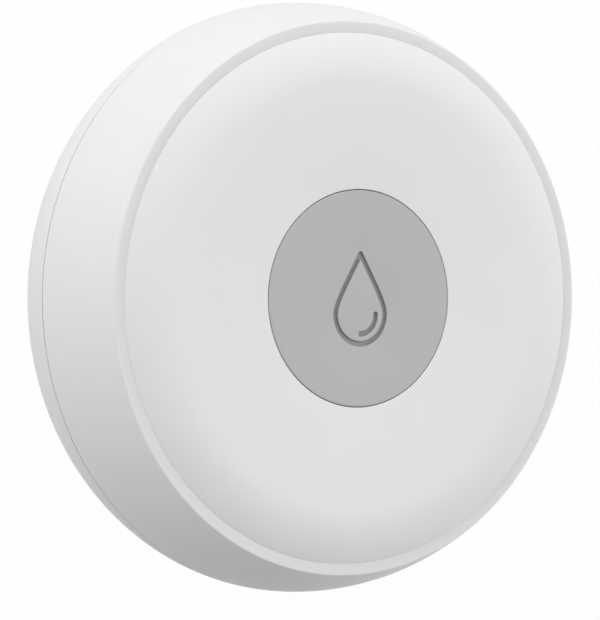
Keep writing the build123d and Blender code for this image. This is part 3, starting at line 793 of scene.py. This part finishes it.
@dataclass
class FaceCover:
    """Domed front disc with the button's guide collar and three screw bosses."""

    puck: Puck
    thickness: float = 1.8 * MM
    skirt_width: float = 1.8 * MM
    crease_round: float = 0.05 * MM
    hole_round: float = 0.1 * MM
    guide_inner: float = 13.025 * MM
    guide_outer: float = 14.625 * MM
    guide_low: float = 19.0 * MM
    key_floor: float = 19.6 * MM
    key_gap_angle: float = 12.8
    boss_circle: float = 15.925 * MM
    boss_radius: float = 1.6 * MM
    boss_bore: float = 0.58 * MM
    boss_low: float = 18.2 * MM
    boss_bore_depth: float = 2.0 * MM
    shoulder_steps: int = 72
    inner_steps: int = 24
    wall_points: int = 97
    gap_points: int = 9

    def build(self) -> None:
        """Turns the cover's closed outline and adds the guide collar and bosses.

        The shoulder is an arc level with the face at the face's edge. Its radius is (rise
        squared plus width squared) over twice the rise, from the ring to the face.
        """
        puck = self.puck
        piece = Piece("face_cover_disc", Body.HOUSING, (WHITE_PLASTIC,))
        width, rise = puck.cover_radius - puck.face_radius, puck.face_z - puck.ring_z
        curve = (width ** 2 + rise ** 2) / (2 * rise)
        centre = (puck.face_radius, puck.face_z - curve)
        shoulder = arc(centre, curve, math.pi / 2, math.acos(width / curve), self.shoulder_steps)
        skirt = puck.cover_radius - self.skirt_width
        inner_curve = curve - self.thickness
        inner_end = math.acos((skirt - puck.face_radius) / inner_curve)
        inner = arc(centre, inner_curve, inner_end, math.pi / 2, self.inner_steps)
        under = puck.face_z - self.thickness
        outline = joined([(puck.hole_radius, puck.face_z), shoulder,
                          (puck.cover_radius, puck.seat_z), (skirt, puck.seat_z), inner,
                          (puck.hole_radius, under), (puck.hole_radius, puck.face_z)],
                         {1: self.crease_round, 7: self.hole_round}, closed=True)
        piece.add_turned(outline, puck.round_steps, closed=True)
        self._add_guide(piece, under + puck.merge)
        piece.build("face_cover")

    def _add_guide(self, piece: Piece, high: float) -> None:
        """Adds the guide collar with its two key gaps, and the bosses on its outside.

        The collar is a square-sectioned ring whose top drops to the key gaps' floor within
        half a gap's angle of the X axis.

        Args:
            piece: The cover's piece.
            high: Height that they reach inside the cover.
        """
        half_gap = self.key_gap_angle / 2
        wall = np.linspace(half_gap, 180 - half_gap, self.wall_points)
        gap = np.linspace(-half_gap, half_gap, self.gap_points)
        angles = np.radians(np.concatenate([wall, gap + 180, wall + 180, gap + 360]))
        top = np.tile(np.repeat([high, self.key_floor], [len(wall), len(gap)]), 2)
        low = np.full(len(top), self.guide_low)
        collar = spun([self.guide_inner, self.guide_outer, self.guide_outer, self.guide_inner],
                      np.column_stack([low, low, top, top]), angles)
        piece.add_grid(collar, close_rows=True, close_columns=True, shading=Shading.FLAT)
        boss = boss_outline(self.boss_radius, self.boss_bore, self.boss_low,
                            self.boss_bore_depth, high)
        for place in around(self.boss_circle, CLAMP_SCREW_ANGLES):
            piece.add_turned(boss, self.puck.boss_steps, centre=place)


@dataclass
class BaseShell:
    """Lower shell: rounded bottom, sealing collar, neck, bayonet lugs and probe holes."""

    puck: Puck
    probe_places: list[Pair]
    underside_round: float = 1.2 * MM
    seam_round: float = 0.06 * MM
    floor_z: float = 2.8 * MM
    collar_outer: float = 29.54 * MM
    collar_inner: float = 26.94 * MM
    collar_top: float = 13.18 * MM
    groove_radius: float = 28.59 * MM
    groove_low: float = 11.28 * MM
    groove_high: float = 12.68 * MM
    neck_outer: float = 28.2 * MM
    lug_low: float = 14.48 * MM
    lug_high: float = 15.58 * MM
    lug_span: float = 16.0
    probe_bore: float = 1.55 * MM
    seal_bore: float = 2.45 * MM
    seal_depth: float = 0.6 * MM
    wall_steps: int = 40
    corner_steps: int = 12
    hole_steps: int = 64

    def build(self) -> None:
        """Turns the shell's outline from underside to floor and closes both with sheets."""
        puck = self.puck
        piece = Piece("base_shell_dish", Body.BASE, (WHITE_PLASTIC,))
        outline = joined([(puck.underside_radius - 2 * self.underside_round, puck.underside_z),
                          puck.lower_arc(puck.underside_z, puck.base_top, self.wall_steps),
                          *stairs(self.collar_outer, puck.base_top, self.collar_outer,
                                  self.groove_low, self.groove_radius, self.groove_high,
                                  self.collar_outer, self.collar_top, self.neck_outer,
                                  self.lug_high, self.collar_inner, self.floor_z)],
                         {0: self.underside_round, 1: self.seam_round}, self.corner_steps)
        piece.add_turned(outline, puck.round_steps)
        for rim, bore, height in ((outline[0, 0], self.seal_bore, puck.underside_z),
                                  (self.collar_inner, self.probe_bore, self.floor_z)):
            piece.add_flat([ring_loop(rim, puck.round_steps),
                            *(ring_loop(bore, self.hole_steps, place)
                              for place in self.probe_places)], height)
        step = puck.underside_z + self.seal_depth
        hole = np.array([(self.seal_bore, puck.underside_z), (self.seal_bore, step),
                         (self.probe_bore, step), (self.probe_bore, self.floor_z)])
        for place in self.probe_places:
            piece.add_turned(hole, self.hole_steps, centre=place)
        for angle in BAYONET_ANGLES:
            piece.add_sector(self.neck_outer - puck.merge, self.collar_outer, self.lug_low,
                             self.lug_high, angle, self.lug_span)
        piece.build("base_shell")


@dataclass
class ButtonCap:
    """Grey push button with the sunk drop mark and its glint."""

    puck: Puck
    edge_round: float = 0.1 * MM
    flange_low: float = 20.45 * MM
    flange_high: float = 21.25 * MM
    flange_width: float = 1.17 * MM
    pocket_radius: float = 10.325 * MM
    pocket_z: float = 21.5 * MM
    stem_radius: float = 2.2 * MM
    stem_low: float = 19.9 * MM
    rib_half: float = 0.4 * MM
    key_half: float = 1.2 * MM
    key_reach: float = 13.525 * MM
    bowl_radius: float = 3.45 * MM
    mark_middle: float = 0.13 * MM
    bowl_centre: float = -1.67 * MM
    apex: float = 7.0 * MM
    flank_lean: float = 28.5
    low_handle: float = 1.4 * MM
    high_handle: float = 3.4 * MM
    tip_round: float = 0.3 * MM
    least_tip_round: float = 0.03 * MM
    stroke: float = 0.55 * MM
    depth: float = 0.27 * MM
    mark_edge_round: float = 0.03 * MM
    mark_floor_round: float = 0.08 * MM
    glint_radius: float = 1.98 * MM
    glint_centre: float = -1.81 * MM
    glint_start: float = -91.0
    glint_end: float = 3.0
    heel_flatness: float = 0.45
    bowl_steps: int = 96
    flank_points: int = 33
    search_points: int = 401
    glint_steps: int = 48
    cap_steps: int = 16

    def build(self) -> None:
        """Turns the button's side and inside, and closes its top with the marked sheet."""
        puck = self.puck
        piece = Piece("button_marked_cap", Body.BUTTON, (GREY_PLASTIC, MARK_PAINTED_SHADE))
        flange = puck.button_radius + self.flange_width
        outline = joined(stairs(puck.button_radius - 4 * self.edge_round, puck.face_z,
                                puck.button_radius, self.flange_high, flange, self.flange_low,
                                self.pocket_radius, self.pocket_z, self.stem_radius,
                                self.stem_low, 0.0), {0: self.edge_round})
        piece.add_turned(outline, puck.round_steps)
        profile = self.groove_profile()
        half = profile[:len(profile) // 2]
        drop = [self.drop_loop(inset) for inset in profile[:, 0]]
        glint = [self.glint_loop(self.stroke / 2 - inset) for inset in half[:, 0]]
        piece.add_flat([ring_loop(outline[0, 0], puck.round_steps), drop[0]], puck.face_z)
        piece.add_flat([drop[-1], glint[0]], puck.face_z)
        # The groove's walls and floors take the mark finish, which carries painted shade in the
        # recess.
        piece.finish_number = 1
        for loops, section in ((drop, profile), (glint, half)):
            flat = np.stack(loops)
            height = np.broadcast_to(puck.face_z + section[:, 1, None], flat.shape[:2])
            piece.add_grid(np.concatenate([flat, height[..., None]], -1), close_columns=True)
        piece.add_flat([glint[-1]], puck.face_z - self.depth)
        piece.finish_number = 0
        for turn in RIB_ANGLES:
            piece.add_box((self.stem_radius - puck.merge, -self.rib_half, self.flange_low),
                          (self.pocket_radius + puck.merge, self.rib_half,
                           self.pocket_z + puck.merge), turn)
        for turn in KEY_ANGLES:
            piece.add_box((flange - puck.merge, -self.key_half, self.flange_low),
                          (self.key_reach, self.key_half, self.flange_high), turn)
        piece.build("button_cap")

    def groove_profile(self) -> np.ndarray:
        """Cross-section of the drop's groove.

        Returns:
            Rows of inset from the outer outline and height over the face.
        """
        edge, floor = self.mark_edge_round, self.mark_floor_round
        corners = stairs(-2 * edge, 0.0, 0.0, -self.depth, self.stroke, 0.0,
                         self.stroke + 2 * edge)
        return joined(corners, {0: edge, 1: floor, 2: floor, 3: edge})[1:-1]

    def flank(self, share: np.ndarray) -> tuple[np.ndarray, np.ndarray]:
        """Points and outward normals of the right flank, from the bowl's side to the apex.

        The flank is the cubic with end points p0, p3 and handles p1, p2: (1-t)^3 p0 +
        3 t (1-t)^2 p1 + 3 t^2 (1-t) p2 + t^3 p3. It leaves the bowl upright and reaches the
        apex at the flank's lean. Heights count from the bowl's centre.

        Args:
            share: Rising values of t from 0 to 1.

        Returns:
            Rows of x and y, and rows of the normals' x and y.
        """
        lean = math.radians(self.flank_lean)
        handles = np.array([(self.bowl_radius, 0.0), (self.bowl_radius, self.low_handle),
                            (self.high_handle * math.sin(lean),
                             self.apex - self.high_handle * math.cos(lean)), (0.0, self.apex)])
        t, u = share[:, None], 1 - share[:, None]
        points = (u ** 3 * handles[0] + 3 * t * u ** 2 * handles[1]
                  + 3 * t ** 2 * u * handles[2] + t ** 3 * handles[3])
        steps = np.diff(handles, axis=0)
        ahead = u ** 2 * steps[0] + 2 * t * u * steps[1] + t ** 2 * steps[2]
        normals = np.column_stack([ahead[:, 1], -ahead[:, 0]])
        return points, normals / np.linalg.norm(normals, axis=1, keepdims=True)

    def drop_loop(self, inset: float) -> np.ndarray:
        """Drop outline at a distance inside the mark's outer outline.

        The lower half is a circle, and each flank is a curve from its side to the apex, both
        moved inwards by the inset along their normals. A small circle rounds the tip: it
        touches both flanks, so its centre is where a flank moved in by the inset and its
        radius crosses the middle line.

        Args:
            inset: Distance inwards from the outer outline.

        Returns:
            Rows of x and y, anticlockwise.
        """
        tip = max(self.tip_round - inset, self.least_tip_round)
        share = np.linspace(0, 1, self.search_points)
        points, normals = self.flank(share)
        deep = points - (inset + tip) * normals
        stop = np.interp(0.0, deep[::-1, 0], share[::-1])
        points, normals = self.flank(np.linspace(0, stop, self.flank_points))
        right = points - inset * normals
        tip_centre = (points - (inset + tip) * normals)[-1, 1]
        lean = math.atan2(normals[-1, 1], normals[-1, 0])
        top = arc((0.0, tip_centre), tip, lean, math.pi - lean, self.cap_steps)
        bottom = arc((0.0, 0.0), self.bowl_radius - inset, math.pi, 2 * math.pi, self.bowl_steps)
        left = right[::-1] * (-1, 1)
        loop = np.concatenate([bottom[:-1], right[:-1], top, left[1:-1]])
        return loop + (self.mark_middle, self.bowl_centre)

    def glint_loop(self, half: float) -> np.ndarray:
        """Outline at a half width round the glint's arc, with a round and a flattened end.

        Args:
            half: Half width of the outline.

        Returns:
            Rows of x and y, anticlockwise.
        """
        start, end = math.radians(self.glint_start), math.radians(self.glint_end)
        middle = (self.mark_middle, self.glint_centre)
        outer = arc(middle, self.glint_radius + half, start, end, self.glint_steps)
        inner = arc(middle, self.glint_radius - half, end, start, self.glint_steps)
        first, last = arc(middle, self.glint_radius, start, end, 1).tolist()
        cap = arc(last, half, end, end + math.pi, self.cap_steps)[1:-1]
        heel = arc(first, half, start + math.pi, start + 2 * math.pi, self.cap_steps)[1:-1]
        back = np.array([math.sin(start), -math.cos(start)])
        heel -= self.heel_flatness * ((heel - first) @ back)[:, None] * back
        return np.concatenate([outer, cap, inner, heel])


@dataclass
class Membrane:
    """Silicone membrane that the button's stem presses."""

    rim_outer: float = 14.625 * MM
    rim_inner: float = 12.625 * MM
    rim_low: float = 18.2 * MM
    rim_high: float = 19.0 * MM
    web_low: float = 18.4 * MM
    centre_radius: float = 3.2 * MM
    centre_low: float = 19.25 * MM
    centre_high: float = 19.85 * MM
    web_round: float = 3.0 * MM
    rim_round: float = 0.1 * MM
    travel: float = 0.4 * MM
    steps: int = 192

    def build(self) -> None:
        """Turns the membrane's outline about Z and gives the object its own mesh."""
        piece = Piece("button_membrane_dome", Body.HOUSING, (SILICONE,))
        outline = joined([(0.0, self.centre_low), (self.centre_radius, self.centre_low),
                          *stairs(self.rim_inner, self.web_low, self.rim_inner, self.rim_low,
                                  self.rim_outer, self.rim_high, self.rim_inner),
                          (self.centre_radius, self.centre_high), (0.0, self.centre_high)],
                         {0: self.web_round, 3: self.rim_round, 4: self.rim_round,
                          6: self.web_round}, steps=8)
        piece.add_turned(outline, self.steps)
        made = piece.build("button_membrane")
        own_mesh(made)


@dataclass
class Probes:
    """Four turned steel probes that the sensor lies on."""

    places: list[Pair]
    head_radius: float = 2.7 * MM
    head_round: float = 0.3 * MM
    seat_round: float = 0.05 * MM
    head_z: float = 0.8 * MM
    shank_radius: float = 1.5 * MM
    thread_depth: float = 0.14 * MM
    thread_pitch: float = 0.5 * MM
    thread_low: float = 1.6 * MM
    shank_high: float = 4.9 * MM
    shank_bevel: float = 0.2 * MM
    dimple_radius: float = 0.7 * MM
    dimple_depth: float = 0.12 * MM
    steps: int = 96

    def build(self) -> None:
        """Turns each probe about its own axis, with a small turning centre in its tip."""
        bevel_low = self.shank_high - self.shank_bevel
        head = joined([(0.0, self.dimple_depth),
                       *stairs(self.dimple_radius, 0.0, self.head_radius, self.head_z,
                               self.shank_radius, self.thread_low)],
                      {1: self.head_round, 2: self.seat_round}, steps=10)
        tip = bevelled_tip(self.shank_radius, self.shank_high, self.shank_bevel)
        for number, place in enumerate(self.places, start=1):
            piece = Piece(f"probe_{number}_turned", Body.BASE, (PROBE_STEEL,))
            piece.add_turned(head, self.steps, centre=place)
            piece.add_thread(self.shank_radius, self.thread_depth, self.thread_pitch,
                             self.thread_low, bevel_low, place, self.steps)
            piece.add_turned(tip, self.steps, centre=place)
            piece.build(f"probe_{number}")


@dataclass
class SealRing:
    """Round rubber ring in the collar's groove."""

    ring_radius: float = 29.2 * MM
    middle_z: float = 11.98 * MM
    section_radius: float = 0.58 * MM
    section_steps: int = 24
    steps: int = 256

    def build(self) -> None:
        """Turns a small circle about Z."""
        section = ring_loop(self.section_radius, self.section_steps,
                            (self.ring_radius, self.middle_z))
        piece = Piece("seal_ring_round", Body.BASE, (SEAL_RUBBER,))
        piece.add_turned(section, self.steps, closed=True)
        piece.build("seal_ring")


@dataclass
class PanScrews:
    """A group of equal pan-head screws that point up, with cross recesses and threads.

    Crown, bevel, thread depth and recess are shares of the head's or the shank's sizes.
    """

    node: str
    places: list[Pair]
    head_low: float
    head_high: float
    head_radius: float
    shank_radius: float
    shank_high: float
    pitch: float
    crown: float = 0.55
    crown_round: float = 0.38
    bevel: float = 0.3
    thread_depth: float = 0.12
    recess_top: Pair = (0.5, 0.13)
    recess_floor: Pair = (0.36, 0.09)
    recess_depth: float = 0.6
    steps: int = 48

    def cross_loop(self, shares: Pair) -> np.ndarray:
        """Cross outline, anticlockwise.

        Args:
            shares: Reach of the arms and half their width, as shares of the head's radius.

        Returns:
            Rows of x and y.
        """
        reach, arm = (share * self.head_radius for share in shares)
        quarter = np.array([(reach, -arm), (reach, arm), (arm, arm)])
        turn = np.array([(0.0, 1.0), (-1.0, 0.0)])
        return np.concatenate([quarter @ np.linalg.matrix_power(turn, count)
                               for count in range(4)])

    def build(self) -> None:
        """Builds all screws of the group as one piece."""
        piece = Piece(self.node + "_threaded", Body.HOUSING, (PLATED_STEEL,))
        outline = joined(stairs(self.crown * self.head_radius, self.head_low, self.head_radius,
                                self.head_high, self.shank_radius),
                         {0: self.crown_round * self.head_radius}, steps=10)
        bevel = self.bevel * self.shank_radius
        tip = bevelled_tip(self.shank_radius, self.shank_high, bevel)
        wide, deep = self.cross_loop(self.recess_top), self.cross_loop(self.recess_floor)
        floor_z = self.head_low + self.recess_depth * (self.head_high - self.head_low)
        for place in self.places:
            piece.add_turned(outline, self.steps, centre=place)
            piece.add_thread(self.shank_radius, self.thread_depth * self.shank_radius, self.pitch,
                             self.head_high, self.shank_high - bevel, place, self.steps)
            piece.add_turned(tip, self.steps, centre=place)
            piece.add_flat([ring_loop(outline[0, 0], self.steps, place), wide + place],
                           self.head_low)
            walls = np.stack([np.column_stack([loop + place, np.full(len(loop), level)])
                              for loop, level in ((wide, self.head_low), (deep, floor_z))])
            piece.add_grid(walls, close_columns=True, shading=Shading.FLAT)
            piece.add_flat([deep + place], floor_z)
        piece.build(self.node)


@dataclass
class Cell:
    """One AAA cell: plain sleeve, rolled crimp, steel ends and plus nub."""

    node: str
    side: int
    middle: Pair
    length: float = 44.5 * MM
    radius: float = 5.25 * MM
    end_round: float = 0.35 * MM
    plate_radius: float = 4.3 * MM
    plate_depth: float = 0.1 * MM
    shoulder_radius: float = 4.6 * MM
    nub_radius: float = 1.9 * MM
    nub_length: float = 1.0 * MM
    nub_round: float = 0.3 * MM
    crimp_depth: float = 0.3 * MM
    crimp_half: float = 0.6 * MM
    crimp_from_end: float = 2.8 * MM
    crimp_points: int = 17
    steps: int = 96

    def build(self) -> None:
        """Turns the cell's steel ends and its sleeve, and lays them along X.

        The crimp's depth falls off as half of one plus a cosine over its width.
        """
        can = self.length - self.nub_length
        piece = Piece(self.node + "_sleeved", Body.HOUSING, (CELL_SLEEVE, CELL_STEEL))
        minus = np.array([(0.0, 0.0), (self.plate_radius, 0.0),
                          (self.plate_radius + self.plate_depth, self.plate_depth),
                          (self.shoulder_radius, self.plate_depth)])
        crimp_z = np.linspace(-self.crimp_half, self.crimp_half, self.crimp_points)
        crimp = np.column_stack([
            self.radius - self.crimp_depth * (1 + np.cos(np.pi * crimp_z / self.crimp_half)) / 2,
            can - self.crimp_from_end + crimp_z])
        sleeve = joined([(self.shoulder_radius, self.plate_depth),
                         (self.radius, self.plate_depth), crimp, (self.radius, can),
                         (self.shoulder_radius, can)], {0: self.end_round, 3: self.end_round})
        plus = joined(stairs(self.shoulder_radius, can, self.nub_radius, self.length, 0.0),
                      {1: self.nub_round})
        for outline, number in ((minus, 1), (sleeve, 0), (plus, 1)):
            piece.finish_number = number
            piece.add_turned(outline, self.steps)
        piece.lay_along_x(self.side, -self.length / 2, self.middle)
        piece.build(self.node)


@dataclass(frozen=True)
class SoftSource:
    """A broad soft source of light on the studio's sky.

    Attributes:
        azimuth: Angle of its middle about Z from +X, in degrees.
        height: Angle of its middle above the floor, in degrees.
        spread: Power that the cosine to its middle is raised to.
        strength: Strength at its middle.
    """

    azimuth: float
    height: float
    spread: float
    strength: float

    @property
    def direction(self) -> Triple:
        """Direction of its middle."""
        turn, rise = math.radians(self.azimuth), math.radians(self.height)
        return math.cos(rise) * math.cos(turn), math.cos(rise) * math.sin(turn), math.sin(rise)


SOURCES = {
    "high right window": SoftSource(0.0, 50.0, 5.0, 1.88),
    "high left panel": SoftSource(135.0, 50.0, 5.0, 1.05),
    "low right panel": SoftSource(0.0, 12.0, 5.0, 0.93),
    "far strip": SoftSource(90.0, 2.0, 12.0, 2.50),
    "corner strip": SoftSource(135.0, 2.0, 12.0, 0.43),
    "left strip": SoftSource(157.5, 2.0, 12.0, 4.53),
}


@dataclass
class Studio:
    """Camera, pale floor and soft light.

    The camera's place comes from the photograph: the ring's ellipse gives the tilt of the
    puck's axis to the line of sight, and its centre gives where the puck stands in the frame.
    """

    tilt: float = math.radians(33.75)
    axis_lean: float = math.radians(1.27)
    distance_in_ring_radii: float = 16.0
    ring_radius_px: float = 277.3
    ring_centre_right_px: float = 51.16
    ring_centre_down_px: float = -11.75
    frame_height_px: float = 620.0
    sensor: float = 36.0
    clip: Pair = (0.01, 50.0)
    floor_half: float = 2.0
    paper_roughness: float = 0.9
    grey_paper_middle: Triple = (20.0 * MM, -60.0 * MM, 0.0)
    paper_tones: tuple[float, ...] = (12.0 * MM, 62.0 * MM, 0.3, 0.8)
    glow_share: float = 0.98
    sky_strength: float = 0.05

    def place_camera(self, puck: Puck) -> None:
        """Sets the camera so that the ring falls where the photograph has it.

        The puck's axis in camera space (right, down, forward) is (sin t cos a, sin t sin a,
        -cos t) for tilt t and lean a. Its drop mark points up the frame. The camera's origin
        is the ring's centre less the measured offset turned into the puck's frame.

        Args:
            puck: Shared sizes of the puck.
        """
        axis = np.array([math.sin(self.tilt) * math.cos(self.axis_lean),
                         math.sin(self.tilt) * math.sin(self.axis_lean), -math.cos(self.tilt)])
        up = np.array([0.0, -1.0, 0.0])
        mark = up - axis * (up @ axis)
        mark /= np.linalg.norm(mark)
        to_camera = np.column_stack([np.cross(mark, axis), mark, axis])
        offset = puck.ring_radius * np.array([self.ring_centre_right_px / self.ring_radius_px,
                                              self.ring_centre_down_px / self.ring_radius_px,
                                              self.distance_in_ring_radii])
        right, down, forward = to_camera
        place = np.eye(4)
        place[:3, 0], place[:3, 1], place[:3, 2] = right, -down, -forward
        place[:3, 3] = np.array([0.0, 0.0, puck.ring_z]) - to_camera.T @ offset
        lens = bpy.data.cameras.new("camera")
        lens.sensor_width = self.sensor
        focal_px = self.ring_radius_px * self.distance_in_ring_radii
        lens.lens = self.sensor * focal_px / self.frame_height_px
        lens.clip_start, lens.clip_end = self.clip
        camera = bpy.data.objects.new("camera", lens)
        bpy.context.scene.collection.objects.link(camera)
        camera.matrix_world = Matrix(place.tolist())
        bpy.context.scene.camera = camera

    def lay_floor(self) -> None:
        """Lays a flat pale floor under the puck, seen as white away from shadow.

        The paper is pale all round, with a grey patch beside the puck that keeps light off
        the wall there. Its tone eases from the patch's to the paper's with the distance from
        the patch's middle, between two radii. From below the floor is clear.
        """
        half = self.floor_half
        mesh = bpy.data.meshes.new("floor")
        mesh.from_pydata([(-half, -half, 0), (half, -half, 0), (half, half, 0),
                          (-half, half, 0)], [], [(0, 1, 2, 3)])
        floor = bpy.data.objects.new("floor", mesh)
        bpy.context.scene.collection.objects.link(floor)
        material = bpy.data.materials.new("floor_paper")
        material.use_nodes = True
        tree = material.node_tree
        paper = tree.nodes["Principled BSDF"]
        place = wired(tree, "TexCoord", {}, output="Object")
        away = wired(tree, "VectorMath", {0: place, 1: self.grey_paper_middle}, "DISTANCE",
                     "Value")
        tone = mapped(tree, away, *self.paper_tones)
        tone.node.interpolation_type = "SMOOTHSTEP"
        feed(tree, paper, {"Roughness": self.paper_roughness, "Base Color": tone})
        glow = wired(tree, "Emission", {"Strength": 1.0})
        share = wired(tree, "Math", {0: self.seen_directly(tree), 1: self.glow_share}, "MULTIPLY")
        front = wired(tree, "MixShader", {0: share, 1: paper.outputs[0], 2: glow})
        behind = wired(tree, "NewGeometry", {}, output="Backfacing")
        clear = wired(tree, "BsdfTransparent", {})
        side = wired(tree, "MixShader", {0: behind, 1: front, 2: clear})
        feed(tree, tree.nodes["Material Output"], {"Surface": side})
        mesh.materials.append(material)

    def seen_directly(self, tree: NodeTree) -> NodeSocket:
        """Adds nodes that are 1 for camera, glossy and transmission rays.

        Args:
            tree: Node tree to add to.

        Returns:
            The socket with the result.
        """
        total = wired(tree, "LightPath", {}, output="Is Camera Ray")
        path = total.node
        for name in ("Is Glossy Ray", "Is Transmission Ray"):
            total = wired(tree, "Math", {0: total, 1: path.outputs[name]}, "MAXIMUM")
        return total

    def light(self) -> None:
        """Lights the puck with an even sky and broad soft sources on it.

        The sky's strength in a direction is a constant plus, for each source, its strength
        times the cosine of the angle to its middle, not below 0, to the power of its spread.
        """
        world = bpy.data.worlds.new("studio")
        bpy.context.scene.world = world
        world.use_nodes = True
        tree, white = world.node_tree, (1.0, 1.0, 1.0, 1.0)
        direction = wired(tree, "TexCoord", {}, output="Generated")
        total = self.sky_strength
        for name, source in SOURCES.items():
            cosine = wired(tree, "VectorMath", {0: direction, 1: source.direction},
                           "DOT_PRODUCT", "Value")
            front = wired(tree, "Math", {0: cosine, 1: 0.0}, "MAXIMUM")
            power = wired(tree, "Math", {0: front, 1: source.spread}, "POWER")
            total = wired(tree, "Math", {0: power, 1: source.strength, 2: total},
                          "MULTIPLY_ADD")
            LOG.info("%s: strength %.2f", name, source.strength)
        sky = tree.nodes["Background"]
        feed(tree, sky, {"Color": white, "Strength": total})
        mix = wired(tree, "MixShader", {0: self.seen_directly(tree), 1: sky.outputs[0],
                                        2: wired(tree, "Background", {"Color": white})})
        feed(tree, tree.nodes["World Output"], {"Surface": mix})


def build_inner_works(puck: Puck) -> None:
    """Builds the membrane, the seal ring, the cells and the two groups of screws.

    Args:
        puck: Shared sizes of the puck.
    """
    cell_y, cell_z = 5.6 * MM, 8.45 * MM
    plate_low, clamp_low, clamp_circle = 13.8 * MM, 17.4 * MM, 15.925 * MM
    Membrane().build()
    SealRing().build()
    Cell("battery_1", -1, (cell_y, cell_z)).build()
    Cell("battery_2", 1, (-cell_y, cell_z)).build()
    PanScrews("carrier_screws", around(puck.screw_circle, CARRIER_SCREW_ANGLES),
              head_low=plate_low - 1.2 * MM, head_high=plate_low, head_radius=1.9 * MM,
              shank_radius=0.95 * MM, shank_high=17.75 * MM, pitch=0.5 * MM).build()
    PanScrews("clamp_screws", around(clamp_circle, CLAMP_SCREW_ANGLES),
              head_low=clamp_low - 0.7 * MM, head_high=clamp_low, head_radius=1.1 * MM,
              shank_radius=0.55 * MM, shank_high=20.15 * MM, pitch=0.3 * MM).build()


def main() -> None:
    """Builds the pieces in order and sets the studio."""
    logging.basicConfig(level=logging.INFO, format="%(name)s: %(message)s")
    puck = Puck()
    probe_places = around(PROBE_CIRCLE, PROBE_ANGLES)
    dress(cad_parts)
    for part in (TopHousing(puck), FaceCover(puck), BaseShell(puck, probe_places),
                 ButtonCap(puck), Probes(probe_places)):
        part.build()
    build_inner_works(puck)
    studio = Studio()
    studio.place_camera(puck)
    studio.lay_floor()
    studio.light()
    bpy.context.scene.view_settings.view_transform = "Standard"


if __name__ == "__main__":
    main()
